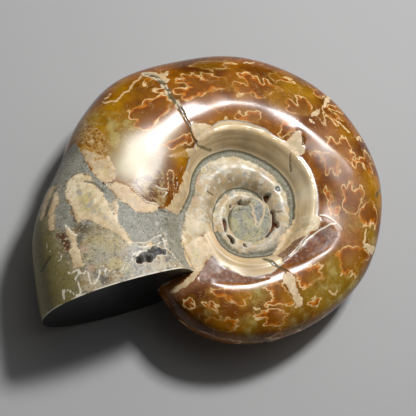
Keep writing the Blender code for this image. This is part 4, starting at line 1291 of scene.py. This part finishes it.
    def _rise(self, fields: dict[str, np.ndarray]) -> np.ndarray:
        """Shapes the flanks: filled seams, whorl crests, the shoulder, bulges and open chambers.

        Args:
            fields: The distance and tint fields.

        Returns:
            How far each vertex moves away from the middle plane, in millimetres.
        """
        distance = np.hypot(self.place[:, 0], self.place[:, 1])
        scale = np.clip(distance / self.full_size_at, self.least_size, 1.0)
        reach = np.clip(1 - np.abs(self.seam) / (self.seam_reach * scale), 0, 1)
        rise = self.seam_fill * scale * reach**2
        crest = np.exp(-(((self.across - self.crest_place) / self.crest_width) ** 2))
        crest -= smooth((self.across - 0.56) / 0.16)
        lift = self.crest_lift * self.radius
        rise += np.where(self.outer, 0, lift * crest)
        wall = np.exp(-((np.maximum(self.seam, 0) / (self.wall_reach * scale)) ** 2))
        rise -= lift / math.exp(FULL_TURN * self.form.growth) * wall * (self.across < 0.45)
        ridge = (self.across - self.shoulder_place) * self.radius / self.shoulder_width
        fade = smooth((self.shoulder_end - np.degrees(self.angle)) / 25)
        fade *= smooth((self.seam + 1) / 2)
        rise += np.where(self.outer, self.shoulder_lift * np.exp(-(ridge**2)) * fade, 0)
        rise += self._soft(BULGES) * self.outer
        for stroke, (height, reach) in ((RIDGE, self.near_ridge), (CREST, self.far_crest)):
            rise += height * np.exp(-((stroke_field(self.flat, (stroke,)) / reach) ** 2))
        depth = np.where(distance < self.chamber_reach, self.chamber_depth, self.hole_depth)
        return rise - depth * smooth(0.25 - fields["pit"] / self.hole_ease) * self.upper


Value = bpy.types.NodeSocket | float
Spot = tuple[Value, float, float, float, str]

PALETTE: dict[str, tuple[int, int, int]] = {
    "amber": (156, 92, 2), "brown": (116, 60, 0), "gold": (178, 126, 10),
    # The rosy colour is partly a painted sheen near the highlights.
    "olive": (152, 118, 30), "deep": (88, 42, 4), "rosy": (172, 122, 88),
    "leaf_orange": (196, 106, 10), "leaf_brown": (122, 60, 14), "leaf_line": (240, 206, 152),
    "leaf_gold": (212, 138, 30),
    "cream": (224, 206, 172), "shell": (204, 182, 144), "rim": (206, 200, 186),
    # The tan colour is painted shade on the walls, and also the colour of the streaks on the outer wall.
    "tan": (140, 114, 76), "honey": (204, 172, 120), "yellow": (206, 190, 120),
    "pink": (232, 184, 158), "pearl": (236, 228, 208), "blue": (148, 152, 152),
    # The band and seam colours are the matrix in the seams, partly darkened as painted shade.
    "band": (118, 120, 100),
    "seam": (84, 74, 50), "grey": (160, 156, 142), "slate": (104, 102, 92),
    "sand": (196, 178, 146), "green": (134, 122, 72), "umber": (92, 74, 50),
    "flake": (234, 206, 162), "peach": (214, 164, 108), "matrix": (140, 138, 122),
    # White is the colour of real white lines and of painted highlights on the broken rim and the sawn
    # edge; hole is painted shade in the pits and dark flecks in the rust.
    "white": (246, 236, 214), "hole": (52, 36, 24), "filling": (158, 156, 132),
    "loop": (212, 188, 150), "rust": (116, 66, 38), "worn": (112, 72, 54), "ochre": (168, 136, 84),
    # The wall colour is painted light on the outer whorl, the bright colour a painted highlight, and the
    # cave colour painted shade in the holes.
    "wall": (252, 222, 170), "bright": (230, 218, 182), "cave_shade": (30, 24, 20), "crust": (206, 152, 64),
    "pale": (255, 240, 204), "crack": (108, 104, 80), "crack_edge": (52, 46, 26),
    "face": (30, 28, 27),
    "face_dark": (20, 20, 20), "mottle": (146, 114, 62), "mottle_dark": (100, 60, 32),
}


def tone(name: str) -> tuple[float, float, float, float]:
    """Returns a palette colour in linear light."""
    shares = (channel / 255 for channel in PALETTE[name])
    return (*(s / 12.92 if s < 0.04045 else ((s + 0.055) / 1.055) ** 2.4 for s in shares), 1.0)


class Graph:
    """Adds nodes to a material and links them.

    The lengths, in millimetres, are roughly those of the whorl's section and of one turn.
    """

    section_length = 30.0
    turn_length = 140.0
    line_length = 9.0
    line_shift = 0.27
    cell_softness = 0.15

    def __init__(self, name: str) -> None:
        """Starts a material with one shader."""
        self.material = bpy.data.materials.new(name)
        self.material.use_nodes = True
        self.nodes = self.material.node_tree.nodes
        self.links = self.material.node_tree.links
        self.shader = self.nodes["Principled BSDF"]
        self.object_place = self.nodes.new("ShaderNodeTexCoord").outputs["Object"]

    def put(self, socket: bpy.types.NodeSocket, value: object) -> None:
        """Links a socket or sets a plain value."""
        if isinstance(value, bpy.types.NodeSocket):
            self.links.new(value, socket)
        else:
            socket.default_value = value

    def field(self, name: str) -> bpy.types.NodeSocket:
        """Reads a number that the mesh stores."""
        node = self.nodes.new("ShaderNodeAttribute")
        node.attribute_name = name
        return node.outputs["Fac"]

    def math(self, operation: str, *values: Value) -> bpy.types.NodeSocket:
        """Adds one arithmetic step."""
        node = self.nodes.new("ShaderNodeMath")
        node.operation = operation
        for index, value in enumerate(values):
            self.put(node.inputs[index], value)
        return node.outputs[0]

    def add(self, first: Value, second: Value) -> bpy.types.NodeSocket:
        """Adds two values."""
        return self.math("ADD", first, second)

    def times(self, first: Value, second: Value) -> bpy.types.NodeSocket:
        """Multiplies two values."""
        return self.math("MULTIPLY", first, second)

    def fit(self, value: Value, slope: float, start: Value) -> bpy.types.NodeSocket:
        """Puts a value on a straight line: its slope times the value, plus its start."""
        return self.math("MULTIPLY_ADD", value, slope, start)

    def size(self, value: Value) -> bpy.types.NodeSocket:
        """Drops a value's sign."""
        return self.math("ABSOLUTE", value)

    def ramp(self, value: Value, low: float, high: float, top: float = 1.0) -> bpy.types.NodeSocket:
        """Eases from 0 at one value to `top` at another.

        Args:
            value: What is eased.
            low: Where it is 0, which may be above `high`.
            high: Where it is `top`.
            top: The most that it gets to.

        Returns:
            The eased value.
        """
        node = self.nodes.new("ShaderNodeMapRange")
        node.interpolation_type = "SMOOTHSTEP"
        inverse = low > high
        self.put(node.inputs["Value"], value)
        node.inputs["From Min"].default_value = high if inverse else low
        node.inputs["From Max"].default_value = low if inverse else high
        node.inputs["To Min"].default_value = top if inverse else 0.0
        node.inputs["To Max"].default_value = 0.0 if inverse else top
        return node.outputs["Result"]

    def noise(self, size: float, detail: float = 2.0, shift: Value = 0.0) -> bpy.types.NodeSocket:
        """Adds noise.

        Args:
            size: How far across its features are, in millimetres.
            detail: How many finer layers it has.
            shift: Tells it from other noise of the same size.

        Returns:
            The noise, mostly from 0.3 to 0.7.
        """
        node = self.nodes.new("ShaderNodeTexNoise")
        node.noise_dimensions = "4D"
        self.links.new(self.object_place, node.inputs["Vector"])
        self.put(node.inputs["W"], shift)
        node.inputs["Scale"].default_value = 1 / (size * MM)
        node.inputs["Detail"].default_value = detail
        return node.outputs["Fac"]

    def lines(self, spacing: float) -> bpy.types.NodeSocket:
        """Adds noise in long lines along the coil, about `spacing` millimetres apart."""
        shift = self.times(self.field("across"), self.line_shift / spacing)
        return self.noise(self.line_length, shift=shift)

    def cells(self, size: float) -> bpy.types.NodeSocket:
        """Adds round cells about `size` millimetres apart, 0 in the middle of each."""
        return self._voronoi(self.object_place, "3D", 1 / (size * MM))

    def darts(self, width: float, length: float) -> bpy.types.NodeSocket:
        """Adds cells that are drawn out along the coil, in millimetres."""
        place = self.nodes.new("ShaderNodeCombineXYZ")
        self.put(place.inputs["X"], self.times(self.field("across"), self.section_length / width))
        self.put(place.inputs["Y"], self.times(self.field("turn"), self.turn_length / length))
        return self._voronoi(place.outputs["Vector"], "2D", 1.0)

    def _voronoi(self, place: Value, dimensions: str, scale: float) -> bpy.types.NodeSocket:
        """Adds soft-edged cells at a place, and returns the distance from their middles."""
        node = self.nodes.new("ShaderNodeTexVoronoi")
        node.feature = "SMOOTH_F1"
        node.voronoi_dimensions = dimensions
        self.links.new(place, node.inputs["Vector"])
        node.inputs["Scale"].default_value = scale
        node.inputs["Smoothness"].default_value = self.cell_softness
        return node.outputs["Distance"]

    def mix(self, share: Value, first: object, second: object) -> bpy.types.NodeSocket:
        """Mixes two colours; a palette name stands for its colour."""
        node = self.nodes.new("ShaderNodeMix")
        node.data_type = "RGBA"
        self.put(node.inputs[0], share)
        for index, colour in ((6, first), (7, second)):
            self.put(node.inputs[index], tone(colour) if isinstance(colour, str) else colour)
        return node.outputs[2]

    def blend(self, share: Value, first: Value, second: Value) -> bpy.types.NodeSocket:
        """Mixes two numbers."""
        node = self.nodes.new("ShaderNodeMix")
        for index, value in ((0, share), (2, first), (3, second)):
            self.put(node.inputs[index], value)
        return node.outputs[0]

    def scale(self, colour: Value, factor: Value) -> bpy.types.NodeSocket:
        """Makes a colour brighter or darker."""
        node = self.nodes.new("ShaderNodeVectorMath")
        node.operation = "SCALE"
        self.put(node.inputs[0], colour)
        self.put(node.inputs["Scale"], factor)
        return node.outputs[0]

    def spots(self, colour: object, *spots: Spot) -> bpy.types.NodeSocket:
        """Lays spots of other colours over a colour, one kind after the other.

        Args:
            colour: The colour or palette name below.
            spots: What each kind follows, where it starts and is full, its strength and its colour.

        Returns:
            The spotted colour.
        """
        for source, low, high, strength, name in spots:
            colour = self.mix(self.ramp(source, low, high, strength), colour, name)
        return colour


class SkinGraph(Graph):
    """The graph of the polished skin, with the noises and tints that its layers share."""

    def __init__(self) -> None:
        """Starts the material and adds what its layers share."""
        super().__init__("polished_skin")
        self.big = self.noise(5.0)
        self.mid = self.noise(1.5, 3.0, 3.0)
        self.fine = self.noise(0.5, 2.0, 7.0)
        self.dust = self.noise(0.16, 1.0, 11.0)
        self.tints = {name: self.field(name) for name in TINTS}
        self.colour: Value = 0.0
        self.shine: Value = 0.0

    def lay(self, share: Value, colour: object, roughness: Value | None = None) -> None:
        """Lays a colour, and a roughness where it has one, over the layers so far."""
        self.colour = self.mix(share, self.colour, colour)
        if roughness is not None:
            self.shine = self.blend(share, self.shine, roughness)

    def mark(self, *spots: Spot) -> None:
        """Lays spots of other colours over the layers so far."""
        self.colour = self.spots(self.colour, *spots)

    def area(self, name: str, coarse: float, fine: float, *ease: float) -> Value:
        """Returns how far a place is inside a field, whose ragged edge eases as a ramp says."""
        return self.ramp(self.ragged(self.field(name), coarse, fine), *ease)

    def ragged(self, value: Value, coarse: float, fine: float) -> Value:
        """Makes the edge of a field irregular by two sizes of noise, in millimetres."""
        value = self.add(value, self.fit(self.mid, coarse, -coarse / 2))
        return self.add(value, self.fit(self.fine, fine, -fine / 2))

    def specks(self, colour: Value, share: Value) -> Value:
        """Scatters fine dark and pale grains over a colour."""
        dark = self.ramp(self.noise(0.42, 2.0, 71.0), 0.57, 0.66, 0.65)
        colour = self.mix(self.times(dark, share), colour, "seam")
        pale = self.ramp(self.noise(0.36, 2.0, 77.0), 0.58, 0.66, 0.7)
        return self.mix(self.times(pale, share), colour, "rim")

    def tint(self, colour: Value, **strengths: float) -> Value:
        """Mixes in tints by their fields; each name stands for a field and its colour."""
        for name, strength in strengths.items():
            colour = self.mix(self.times(self.tints[name], strength), colour, name)
        return colour


@dataclass(frozen=True)
class PolishedSkin:
    """The polished skin: calcite with leaf-shaped sutures, nacre, matrix, cracks and holes.

    Each layer reads a distance field in millimetres, makes its edge ragged, and lays its colour
    and roughness over the layers before it.
    """

    calcite_roughness: float = 0.13
    calcite_satin: float = 0.13
    nacre_roughness: float = 0.15
    nacre_satin: float = 0.22
    ridge_roughness: float = 0.06
    band_roughness: float = 0.5
    rock_roughness: float = 0.42
    worn_roughness: float = 0.18
    worn_satin: float = 0.2
    matrix_roughness: float = 0.5
    flake_roughness: float = 0.45
    filling_roughness: float = 0.5
    hole_roughness: float = 0.8
    refraction: float = 1.5
    specular: float = 0.33

    def build(self) -> bpy.types.Material:
        """Returns the material."""
        g = SkinGraph()
        for layer in (
            self._calcite, self._leaves, self._nacre, self._rock, self._worn, self._mottled,
            self._matrix, self._flakes, self._rust, self._cracks, self._filling, self._eye,
            self._holes,
        ):
            layer(g)
        g.put(g.shader.inputs["Base Color"], g.scale(g.colour, g.fit(g.dust, 0.3, 0.86)))
        g.put(g.shader.inputs["Roughness"], g.shine)
        g.shader.inputs["IOR"].default_value = self.refraction
        g.shader.inputs["Specular IOR Level"].default_value = self.specular
        return g.material

    def _calcite(self, g: SkinGraph) -> None:
        """Makes clouded amber calcite, which lies under everything else, with a painted highlight on the
        left flank and rosy tones that are partly painted sheen.
        """
        colour = g.mix(g.ramp(g.big, 0.35, 0.65), "amber", "brown")
        colour = g.tint(colour, olive=0.85, rosy=0.85, gold=0.85, deep=0.9)
        colour = g.scale(colour, g.fit(g.mid, 0.7, 0.65))
        cloud = g.ramp(g.noise(1.8, 4.0, 121.0), 0.46, 0.68, 0.5)
        colour = g.mix(g.times(g.tints["olive"], cloud), colour, "yellow")
        colour = g.scale(colour, g.fit(g.noise(0.6, 3.0, 109.0), 0.7, 0.65))
        # Painted highlight: the bright patch on the left flank.
        g.colour = g.tint(colour, bright=0.85)

    def _leaves(self, g: SkinGraph) -> None:
        """Draws the leaf-shaped sutures: insides, frilled pale outlines, and fine ones between."""
        leaf = g.field("leaf")
        frills = ((g.darts(0.8, 2.4), 0.8), (g.cells(1.15), 0.36), (g.cells(0.5), 0.2))
        for cells, depth in frills:
            leaf = g.add(leaf, g.fit(cells, depth, -0.42 * depth))
        leaf = g.add(leaf, g.fit(g.fine, 0.14, -0.07))
        shut = g.math("SUBTRACT", 1.0, g.field("gap"))
        g.mark((leaf, 0.8, 0.1, 0.3, "gold"))
        fill = g.add(g.ramp(leaf, 0.04, -0.1, 0.6), g.ramp(leaf, -1.6, 0.0, 0.4))
        fill = g.times(fill, g.ramp(leaf, 0.04, -0.02))
        faded = g.fit(g.ramp(g.noise(3.4, 1.0, 23.0), 0.3, 0.6), 0.45, 0.55)
        g.lay(g.times(g.times(fill, faded), shut), self._leaf_inside(g, leaf))
        broken = g.times(g.ramp(g.mid, 0.25, 0.5), shut)
        broken = g.times(g.ramp(g.noise(2.6, 1.0, 19.0), 0.38, 0.52), broken)
        line = g.times(g.ramp(g.size(leaf), 0.2, 0.05), g.fit(broken, 0.85, 0.1))
        g.lay(line, "leaf_line")
        small = g.size(g.math("SUBTRACT", g.darts(0.55, 1.5), 0.5))
        some = g.ramp(g.noise(2.0, 1.0, 113.0), 0.52, 0.62)
        g.lay(g.times(g.times(g.ramp(small, 0.05, 0.0), some), 0.45), "leaf_line")
        suture = g.add(g.field("suture"), g.fit(g.fine, 0.4, -0.2))
        g.mark((suture, 0.16, 0.0, 0.85, "leaf_line"))

    def _leaf_inside(self, g: SkinGraph, leaf: Value) -> Value:
        """Makes the streaked orange of a leaf, browner towards its middle."""
        streaks = g.noise(0.9, 3.0, 15.0)
        depth = g.add(leaf, g.fit(streaks, 1.4, -0.7))
        inside = g.spots(
            "leaf_orange", (depth, -0.1, -0.8, 1.0, "leaf_brown"), (leaf, -0.45, 0.0, 0.6, "leaf_gold")
        )
        # Rosy tint near the highlights, partly painted sheen.
        inside = g.tint(inside, deep=0.45, rosy=0.5)
        return g.scale(inside, g.fit(streaks, 0.8, 0.65))

    def _umbilicus(self, g: SkinGraph, band: Value) -> Value:
        """Makes the cream shell round the umbilicus, with grey-green matrix in its seams. Its outer
        whorl is painted lighter as painted light, and its walls and seams are darkened in places as
        painted shade.
        """
        inner = g.fit(g.ramp(g.field("turn"), 0.99, 1.01), 0.85, 0.15)
        shell = g.mix(g.ramp(g.mid, 0.3, 0.7), "cream", "shell")
        # Painted light: the outer whorl's nacre is made lighter where its wall faces away from the soft
        # box.
        shell = g.mix(g.ramp(inner, 0.9, 0.2, 0.75), shell, "wall")
        # The tan tint here is painted shade on the walls.
        shell = g.tint(shell, honey=0.7, tan=0.6, yellow=0.75, pink=0.9, blue=0.75)
        for source, low, strength, name in (
            (g.noise(1.1, 3.0, 51.0), 0.50, 0.7, "pearl"),
            (g.noise(1.3, 4.0, 57.0), 0.55, 0.6, "grey"),
            (g.noise(1.7, 3.0, 131.0), 0.52, 0.6, "honey"),
            (g.fine, 0.56, 0.4, "blue"),
        ):
            mottle = g.times(g.ramp(source, low, low + 0.1, strength), inner)
            shell = g.mix(mottle, shell, name)
        lines = g.lines(0.55)
        outer = g.fit(inner, -0.8, 1.0)
        shell = g.mix(g.times(g.ramp(lines, 0.48, 0.64, 0.45), outer), shell, "tan")
        shell = g.mix(g.times(g.ramp(lines, 0.45, 0.34, 0.4), outer), shell, "rim")
        shell = g.tint(shell, pale=0.8)
        # The matrix in the seams is darkened towards the crease, partly as painted shade at the foot of
        # the wall.
        stone = g.mix(g.ramp(g.fine, 0.45, 0.6, 0.7), "band", "seam")
        shell = g.mix(g.ramp(band, 0.3, -0.2, 0.9), shell, stone)
        shell = g.specks(shell, g.times(inner, 0.4))
        return g.spots(shell, (g.size(g.field("seam")), 0.45, 0.05, 0.7, "seam"))

    def _nacre(self, g: SkinGraph) -> None:
        """Lays the cream shell over the calcite, with a brown and a pale line along its edge."""
        edge = g.ragged(g.field("nacre"), 0.9, 0.4)
        band = g.ragged(g.field("band"), 1.8, 1.2)
        g.mark((g.size(edge), 0.5, 0.15, 0.5, "leaf_brown"))
        g.lay(g.ramp(edge, 0.06, -0.06), self._umbilicus(g, band))
        g.mark((g.size(edge), 0.26, 0.1, 0.7, "rim"))
        dull = g.fit(g.field("satin"), self.nacre_satin, self.nacre_roughness)
        satin = g.add(g.ramp(g.big, 0.38, 0.62, 0.10), dull)
        satin = g.blend(g.ramp(g.field("ridge"), 0.9, 0.3), satin, self.ridge_roughness)
        satin = g.blend(g.ramp(band, 0.5, -0.1), satin, self.band_roughness)
        bright = g.fit(g.field("satin"), self.calcite_satin, self.calcite_roughness)
        g.shine = g.blend(g.ramp(edge, 0.1, -0.1), bright, satin)

    def _rock(self, g: SkinGraph) -> None:
        """Lays the mottled rock of the body chamber, with painted shade in its holes."""
        ground = g.mix(g.ramp(g.big, 0.35, 0.6), "grey", "sand")
        ground = g.spots(
            ground,
            (g.mid, 0.52, 0.62, 0.8, "slate"),
            (g.noise(1.4, 4.0, 21.0), 0.52, 0.62, 0.75, "ochre"),
            (g.noise(0.8, 3.0, 33.0), 0.56, 0.66, 0.8, "cream"),
        )
        ground = g.tint(ground, green=0.95, umber=0.9, blue=0.7, yellow=0.6, pink=0.6)
        ground = g.spots(ground, (g.fine, 0.56, 0.7, 0.5, "umber"))
        ground = g.specks(ground, g.fit(g.tints["green"], -0.7, 1.0))
        # Painted shade in the holes, ringed with white.
        cave_shade = g.times(g.tints["cave_shade"], g.noise(0.8, 3.0, 83.0))
        mouth = g.size(g.math("SUBTRACT", cave_shade, 0.27))
        ground = g.spots(ground, (mouth, 0.05, 0.0, 0.8, "white"), (cave_shade, 0.29, 0.35, 1.0, "cave_shade"))
        g.lay(g.area("rock", 2.0, 0.8, 0.15, -0.15), ground, self.rock_roughness)

    def _worn(self, g: SkinGraph) -> None:
        """Lays the worn places, brown and dull."""
        rough = g.spots(
            "worn",
            (g.mid, 0.45, 0.65, 0.8, "leaf_brown"),
            (g.noise(0.7, 3.0, 97.0), 0.48, 0.62, 0.5, "rosy"),
            (g.fine, 0.56, 0.66, 0.7, "grey"),
        )
        dull = g.fit(g.field("satin"), self.worn_satin, self.worn_roughness)
        g.lay(g.area("worn", 1.0, 0.6, 0.1, -0.3, 0.9), rough, dull)

    def _mottled(self, g: SkinGraph) -> None:
        """Lays the mottled places, which are crusty where they are golden."""
        gold = g.tints["gold"]
        grainy = g.noise(0.55, 3.0, 141.0)
        patchy = g.spots(
            "mottle",
            (g.mid, 0.46, 0.58, 1.0, "mottle_dark"),
            (g.noise(0.8, 3.0, 61.0), 0.48, 0.58, 0.35, "flake"),
            (g.fine, 0.54, 0.66, 0.6, "shell"),
        )
        patchy = g.mix(g.times(gold, 0.55), patchy, "crust")
        patchy = g.mix(g.times(g.ramp(grainy, 0.46, 0.38, 0.9), gold), patchy, "leaf_brown")
        patchy = g.mix(g.times(g.ramp(grainy, 0.56, 0.62, 0.9), gold), patchy, "flake")
        g.lay(g.area("mottled", 1.6, 0.8, 0.3, -0.3, 0.85), patchy)

    def _matrix(self, g: SkinGraph) -> None:
        """Lays the grey matrix."""
        stone = g.spots(
            "matrix", (g.mid, 0.35, 0.65, 1.0, "grey"), (g.fine, 0.58, 0.7, 0.6, "slate")
        )
        stone = g.specks(stone, 1.0)
        g.lay(g.area("matrix", 0.9, 0.6, 0.1, -0.1), stone, self.matrix_roughness)

    def _flakes(self, g: SkinGraph) -> None:
        """Lays the beige flakes of shell, peach at the edge and amber in places."""
        flake = g.ragged(g.field("flake"), 1.1, 0.8)
        scale = g.tint(g.spots("flake", (g.mid, 0.4, 0.6, 0.9, "shell")), pale=0.85)
        inner = g.mix(g.ramp(g.noise(1.4, 3.0, 45.0), 0.4, 0.6), "yellow", "grey")
        depth = g.fit(g.noise(1.0, 3.0, 41.0), 4.0, flake)
        scale = g.mix(g.ramp(depth, 0.9, -0.3, 0.8), scale, inner)
        scale = g.tint(g.spots(scale, (g.fine, 0.58, 0.7, 0.45, "ochre")), pink=0.5)
        scale = g.spots(scale, (g.noise(1.3, 3.0, 135.0), 0.48, 0.6, 0.5, "honey"))
        scale = g.specks(scale, 0.35)
        amber = g.add(g.times(g.tints["gold"], 0.5), g.noise(1.0, 3.0, 91.0))
        scale = g.spots(scale, (amber, 0.72, 0.82, 0.85, "gold"))
        edge = g.times(g.ramp(flake, -0.35, -0.05, 0.6), g.ramp(g.mid, 0.48, 0.6))
        g.lay(g.ramp(flake, 0.06, -0.06), g.mix(edge, scale, "peach"), self.flake_roughness)

    def _rust(self, g: SkinGraph) -> None:
        """Lays the rusty spot."""
        stain = g.spots(
            "rust",
            (g.fine, 0.42, 0.56, 0.8, "hole"),
            (g.noise(0.7, 3.0, 117.0), 0.54, 0.62, 0.8, "cream"),
        )
        g.lay(g.area("rust", 1.4, 0.9, 0.3, -0.2, 0.9), stain)

    def _cracks(self, g: SkinGraph) -> None:
        """Draws the veins, the crack across the flank, the white lines, two of them painted highlights,
        and a painted highlight along the sawn edge.
        """
        vein = g.ragged(g.field("vein"), 0.3, 0.3)
        crack = g.ragged(g.field("crack"), 0.9, 0.5)
        g.mark(
            (vein, 0.16, 0.02, 0.6, "crack_edge"),
            (vein, 0.0, -0.2, 1.0, "crack"),
            (crack, 0.75, 0.3, 0.75, "crack"),
        )
        fleck = g.times(g.ramp(crack, 1.0, 0.6), g.ramp(g.mid, 0.50, 0.56))
        g.lay(g.times(fleck, 0.9), "cream")
        split = g.add(g.field("crack"), g.fit(g.fine, 0.4, -0.2))
        white = g.ragged(g.field("white"), 0.08, 0.05)
        g.mark((split, 0.22, 0.06, 0.9, "crack_edge"), (white, 0.07, -0.02, 0.85, "white"))
        # Painted highlight along the edge of the sawn face, broken up by noise.
        worn = g.ramp(g.noise(3.0, 2.0, 105.0), 0.42, 0.56)
        g.lay(g.times(g.ramp(g.field("lip_highlight"), 0.36, 0.1, 0.9), worn), "white")

    def _filling(self, g: SkinGraph) -> None:
        """Lays the level filling of the umbilicus, with the pale loop on it."""
        loop = g.field("loop")
        middle = g.spots(
            "filling",
            (g.mid, 0.3, 0.7, 0.5, "band"),
            (loop, 0.1, -0.2, 0.6, "blue"),
            (g.noise(1.6, 3.0, 123.0), 0.48, 0.6, 0.45, "yellow"),
            (g.noise(0.8, 3.0, 101.0), 0.5, 0.6, 0.5, "grey"),
            (g.noise(0.7, 3.0, 127.0), 0.55, 0.65, 0.5, "seam"),
        )
        middle = g.specks(middle, 1.0)
        ring = g.size(g.ragged(loop, 0.5, 0.5))
        middle = g.spots(middle, (ring, 0.28, 0.12, 1.0, "loop"))
        g.lay(g.area("filling", 0.6, 0.3, 0.1, -0.15), middle, self.filling_roughness)

    def _eye(self, g: SkinGraph) -> None:
        """Draws the rings of the first chamber."""
        eye = g.ragged(g.field("eye"), 0.3, 0.2)
        g.mark(
            (eye, 0.95, 0.8, 0.9, "rim"),
            (eye, 0.62, 0.52, 0.9, "seam"),
            (eye, 0.45, 0.3, 0.9, "blue"),
        )

    def _holes(self, g: SkinGraph) -> None:
        """Darkens the open chambers with painted shade and gives them a pale edge."""
        pit = g.field("pit")
        cave_shade = g.tints["cave_shade"]
        # Painted shade in the pits: the hole and brown colours, and the cave colour where it reaches.
        dark = g.mix(cave_shade, g.mix(g.ramp(g.mid, 0.4, 0.6), "hole", "brown"), "cave_shade")
        edge = g.times(g.ramp(g.size(pit), 0.35, 0.1, 0.6), g.fit(cave_shade, -0.8, 1.0))
        g.lay(edge, "rim")
        g.lay(g.ramp(pit, 0.0, -0.3), dark, self.hole_roughness)


@dataclass(frozen=True)
class SawnFace:
    """The dark, satin face of the saw cut, with the fine marks of the blade."""

    roughness: float = 0.32
    specular: float = 0.3
    stretch: tuple[float, float, float] = (0.15, 1.0, 1.0)

    def build(self) -> bpy.types.Material:
        """Returns the material."""
        g = Graph("sawn_face")
        stretch = g.nodes.new("ShaderNodeMapping")
        stretch.inputs["Scale"].default_value = self.stretch
        g.put(stretch.inputs["Vector"], g.object_place)
        g.object_place = stretch.outputs[0]
        marks = g.noise(0.35, 2.0)
        colour = g.mix(g.ramp(g.noise(4.0), 0.3, 0.7), "face", "face_dark")
        g.put(g.shader.inputs["Base Color"], g.scale(colour, g.fit(marks, 0.4, 0.8)))
        g.put(g.shader.inputs["Roughness"], g.fit(marks, 0.12, self.roughness))
        g.shader.inputs["Specular IOR Level"].default_value = self.specular
        return g.material


@dataclass
class Studio:
    """Floor, light and camera."""

    floor_size: float = 6.0
    floor_colour: tuple[float, float, float, float] = (0.42, 0.42, 0.42, 1.0)
    floor_roughness: float = 0.6
    light_way: tuple[float, float, float] = (0.31, 0.455, 0.835)
    light_distance: float = 0.52
    light_size: float = 0.095
    light_energy: float = 2.35
    surround: tuple[float, float] = (0.04, 0.38)
    surround_start: float = 0.6
    camera_place: tuple[float, float, float] = (-0.0604, -0.1247, 0.2759)
    right: tuple[float, float, float] = (0.9754, 0.0074, 0.2202)
    up: tuple[float, float, float] = (-0.0958, 0.9141, 0.3939)
    back: tuple[float, float, float] = (-0.1983, -0.4053, 0.8924)
    lens: float = 129.8
    sensor_width: float = 36.0

    def build(self) -> None:
        """Sets up everything round the fossil."""
        self._floor()
        self._light()
        self._surround()
        self._camera()

    def _floor(self) -> None:
        """Adds a plain pale floor."""
        bpy.ops.mesh.primitive_plane_add(size=self.floor_size)
        floor = bpy.context.object
        floor.name = "floor"
        material = bpy.data.materials.new("floor")
        material.use_nodes = True
        shader = material.node_tree.nodes["Principled BSDF"]
        shader.inputs["Base Color"].default_value = self.floor_colour
        shader.inputs["Roughness"].default_value = self.floor_roughness
        floor.data.materials.append(material)

    def _light(self) -> None:
        """Adds a soft box behind and to the right."""
        toward = Vector(self.light_way).normalized()
        data = bpy.data.lights.new("soft_box", "AREA")
        data.shape = "SQUARE"
        data.size = self.light_size
        data.energy = self.light_energy
        light = bpy.data.objects.new("soft_box", data)
        bpy.context.scene.collection.objects.link(light)
        turn = toward.to_track_quat("Z", "Y").to_matrix().to_4x4()
        light.matrix_world = Matrix.Translation(toward * self.light_distance) @ turn

    def _surround(self) -> None:
        """Adds a dim surround that is brighter towards the soft box."""
        world = bpy.data.worlds.new("studio")
        world.use_nodes = True
        nodes, links = world.node_tree.nodes, world.node_tree.links
        way = nodes.new("ShaderNodeTexCoord")
        facing = nodes.new("ShaderNodeVectorMath")
        facing.operation = "DOT_PRODUCT"
        facing.inputs[1].default_value = Vector(self.light_way).normalized()
        links.new(way.outputs["Generated"], facing.inputs[0])
        ease = nodes.new("ShaderNodeMapRange")
        ease.interpolation_type = "SMOOTHSTEP"
        ease.inputs["From Min"].default_value = self.surround_start
        ease.inputs["To Min"].default_value, ease.inputs["To Max"].default_value = self.surround
        links.new(facing.outputs["Value"], ease.inputs["Value"])
        links.new(ease.outputs["Result"], nodes["Background"].inputs["Strength"])
        nodes["Background"].inputs["Color"].default_value = (1, 1, 1, 1)
        bpy.context.scene.world = world
        bpy.context.scene.view_settings.view_transform = "Standard"

    def _camera(self) -> None:
        """Adds the camera."""
        data = bpy.data.cameras.new("camera")
        data.lens = self.lens
        data.sensor_width = self.sensor_width
        camera = bpy.data.objects.new("camera", data)
        bpy.context.scene.collection.objects.link(camera)
        turn = Matrix((self.right, self.up, self.back)).transposed().to_4x4()
        camera.matrix_world = Matrix.Translation(self.camera_place) @ turn
        bpy.context.scene.camera = camera


def main() -> None:
    """Builds the fossil and its studio, and reports each piece."""
    logging.basicConfig(level=logging.INFO, format="%(name)s: %(message)s")
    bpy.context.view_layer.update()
    bpy.ops.object.select_all(action="DESELECT")
    shell = Shell().build()
    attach(shell, "root")
    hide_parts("shell")
    LOG.info("piece %s", shell.name)
    Studio().build()


if __name__ == "__main__":
    main()
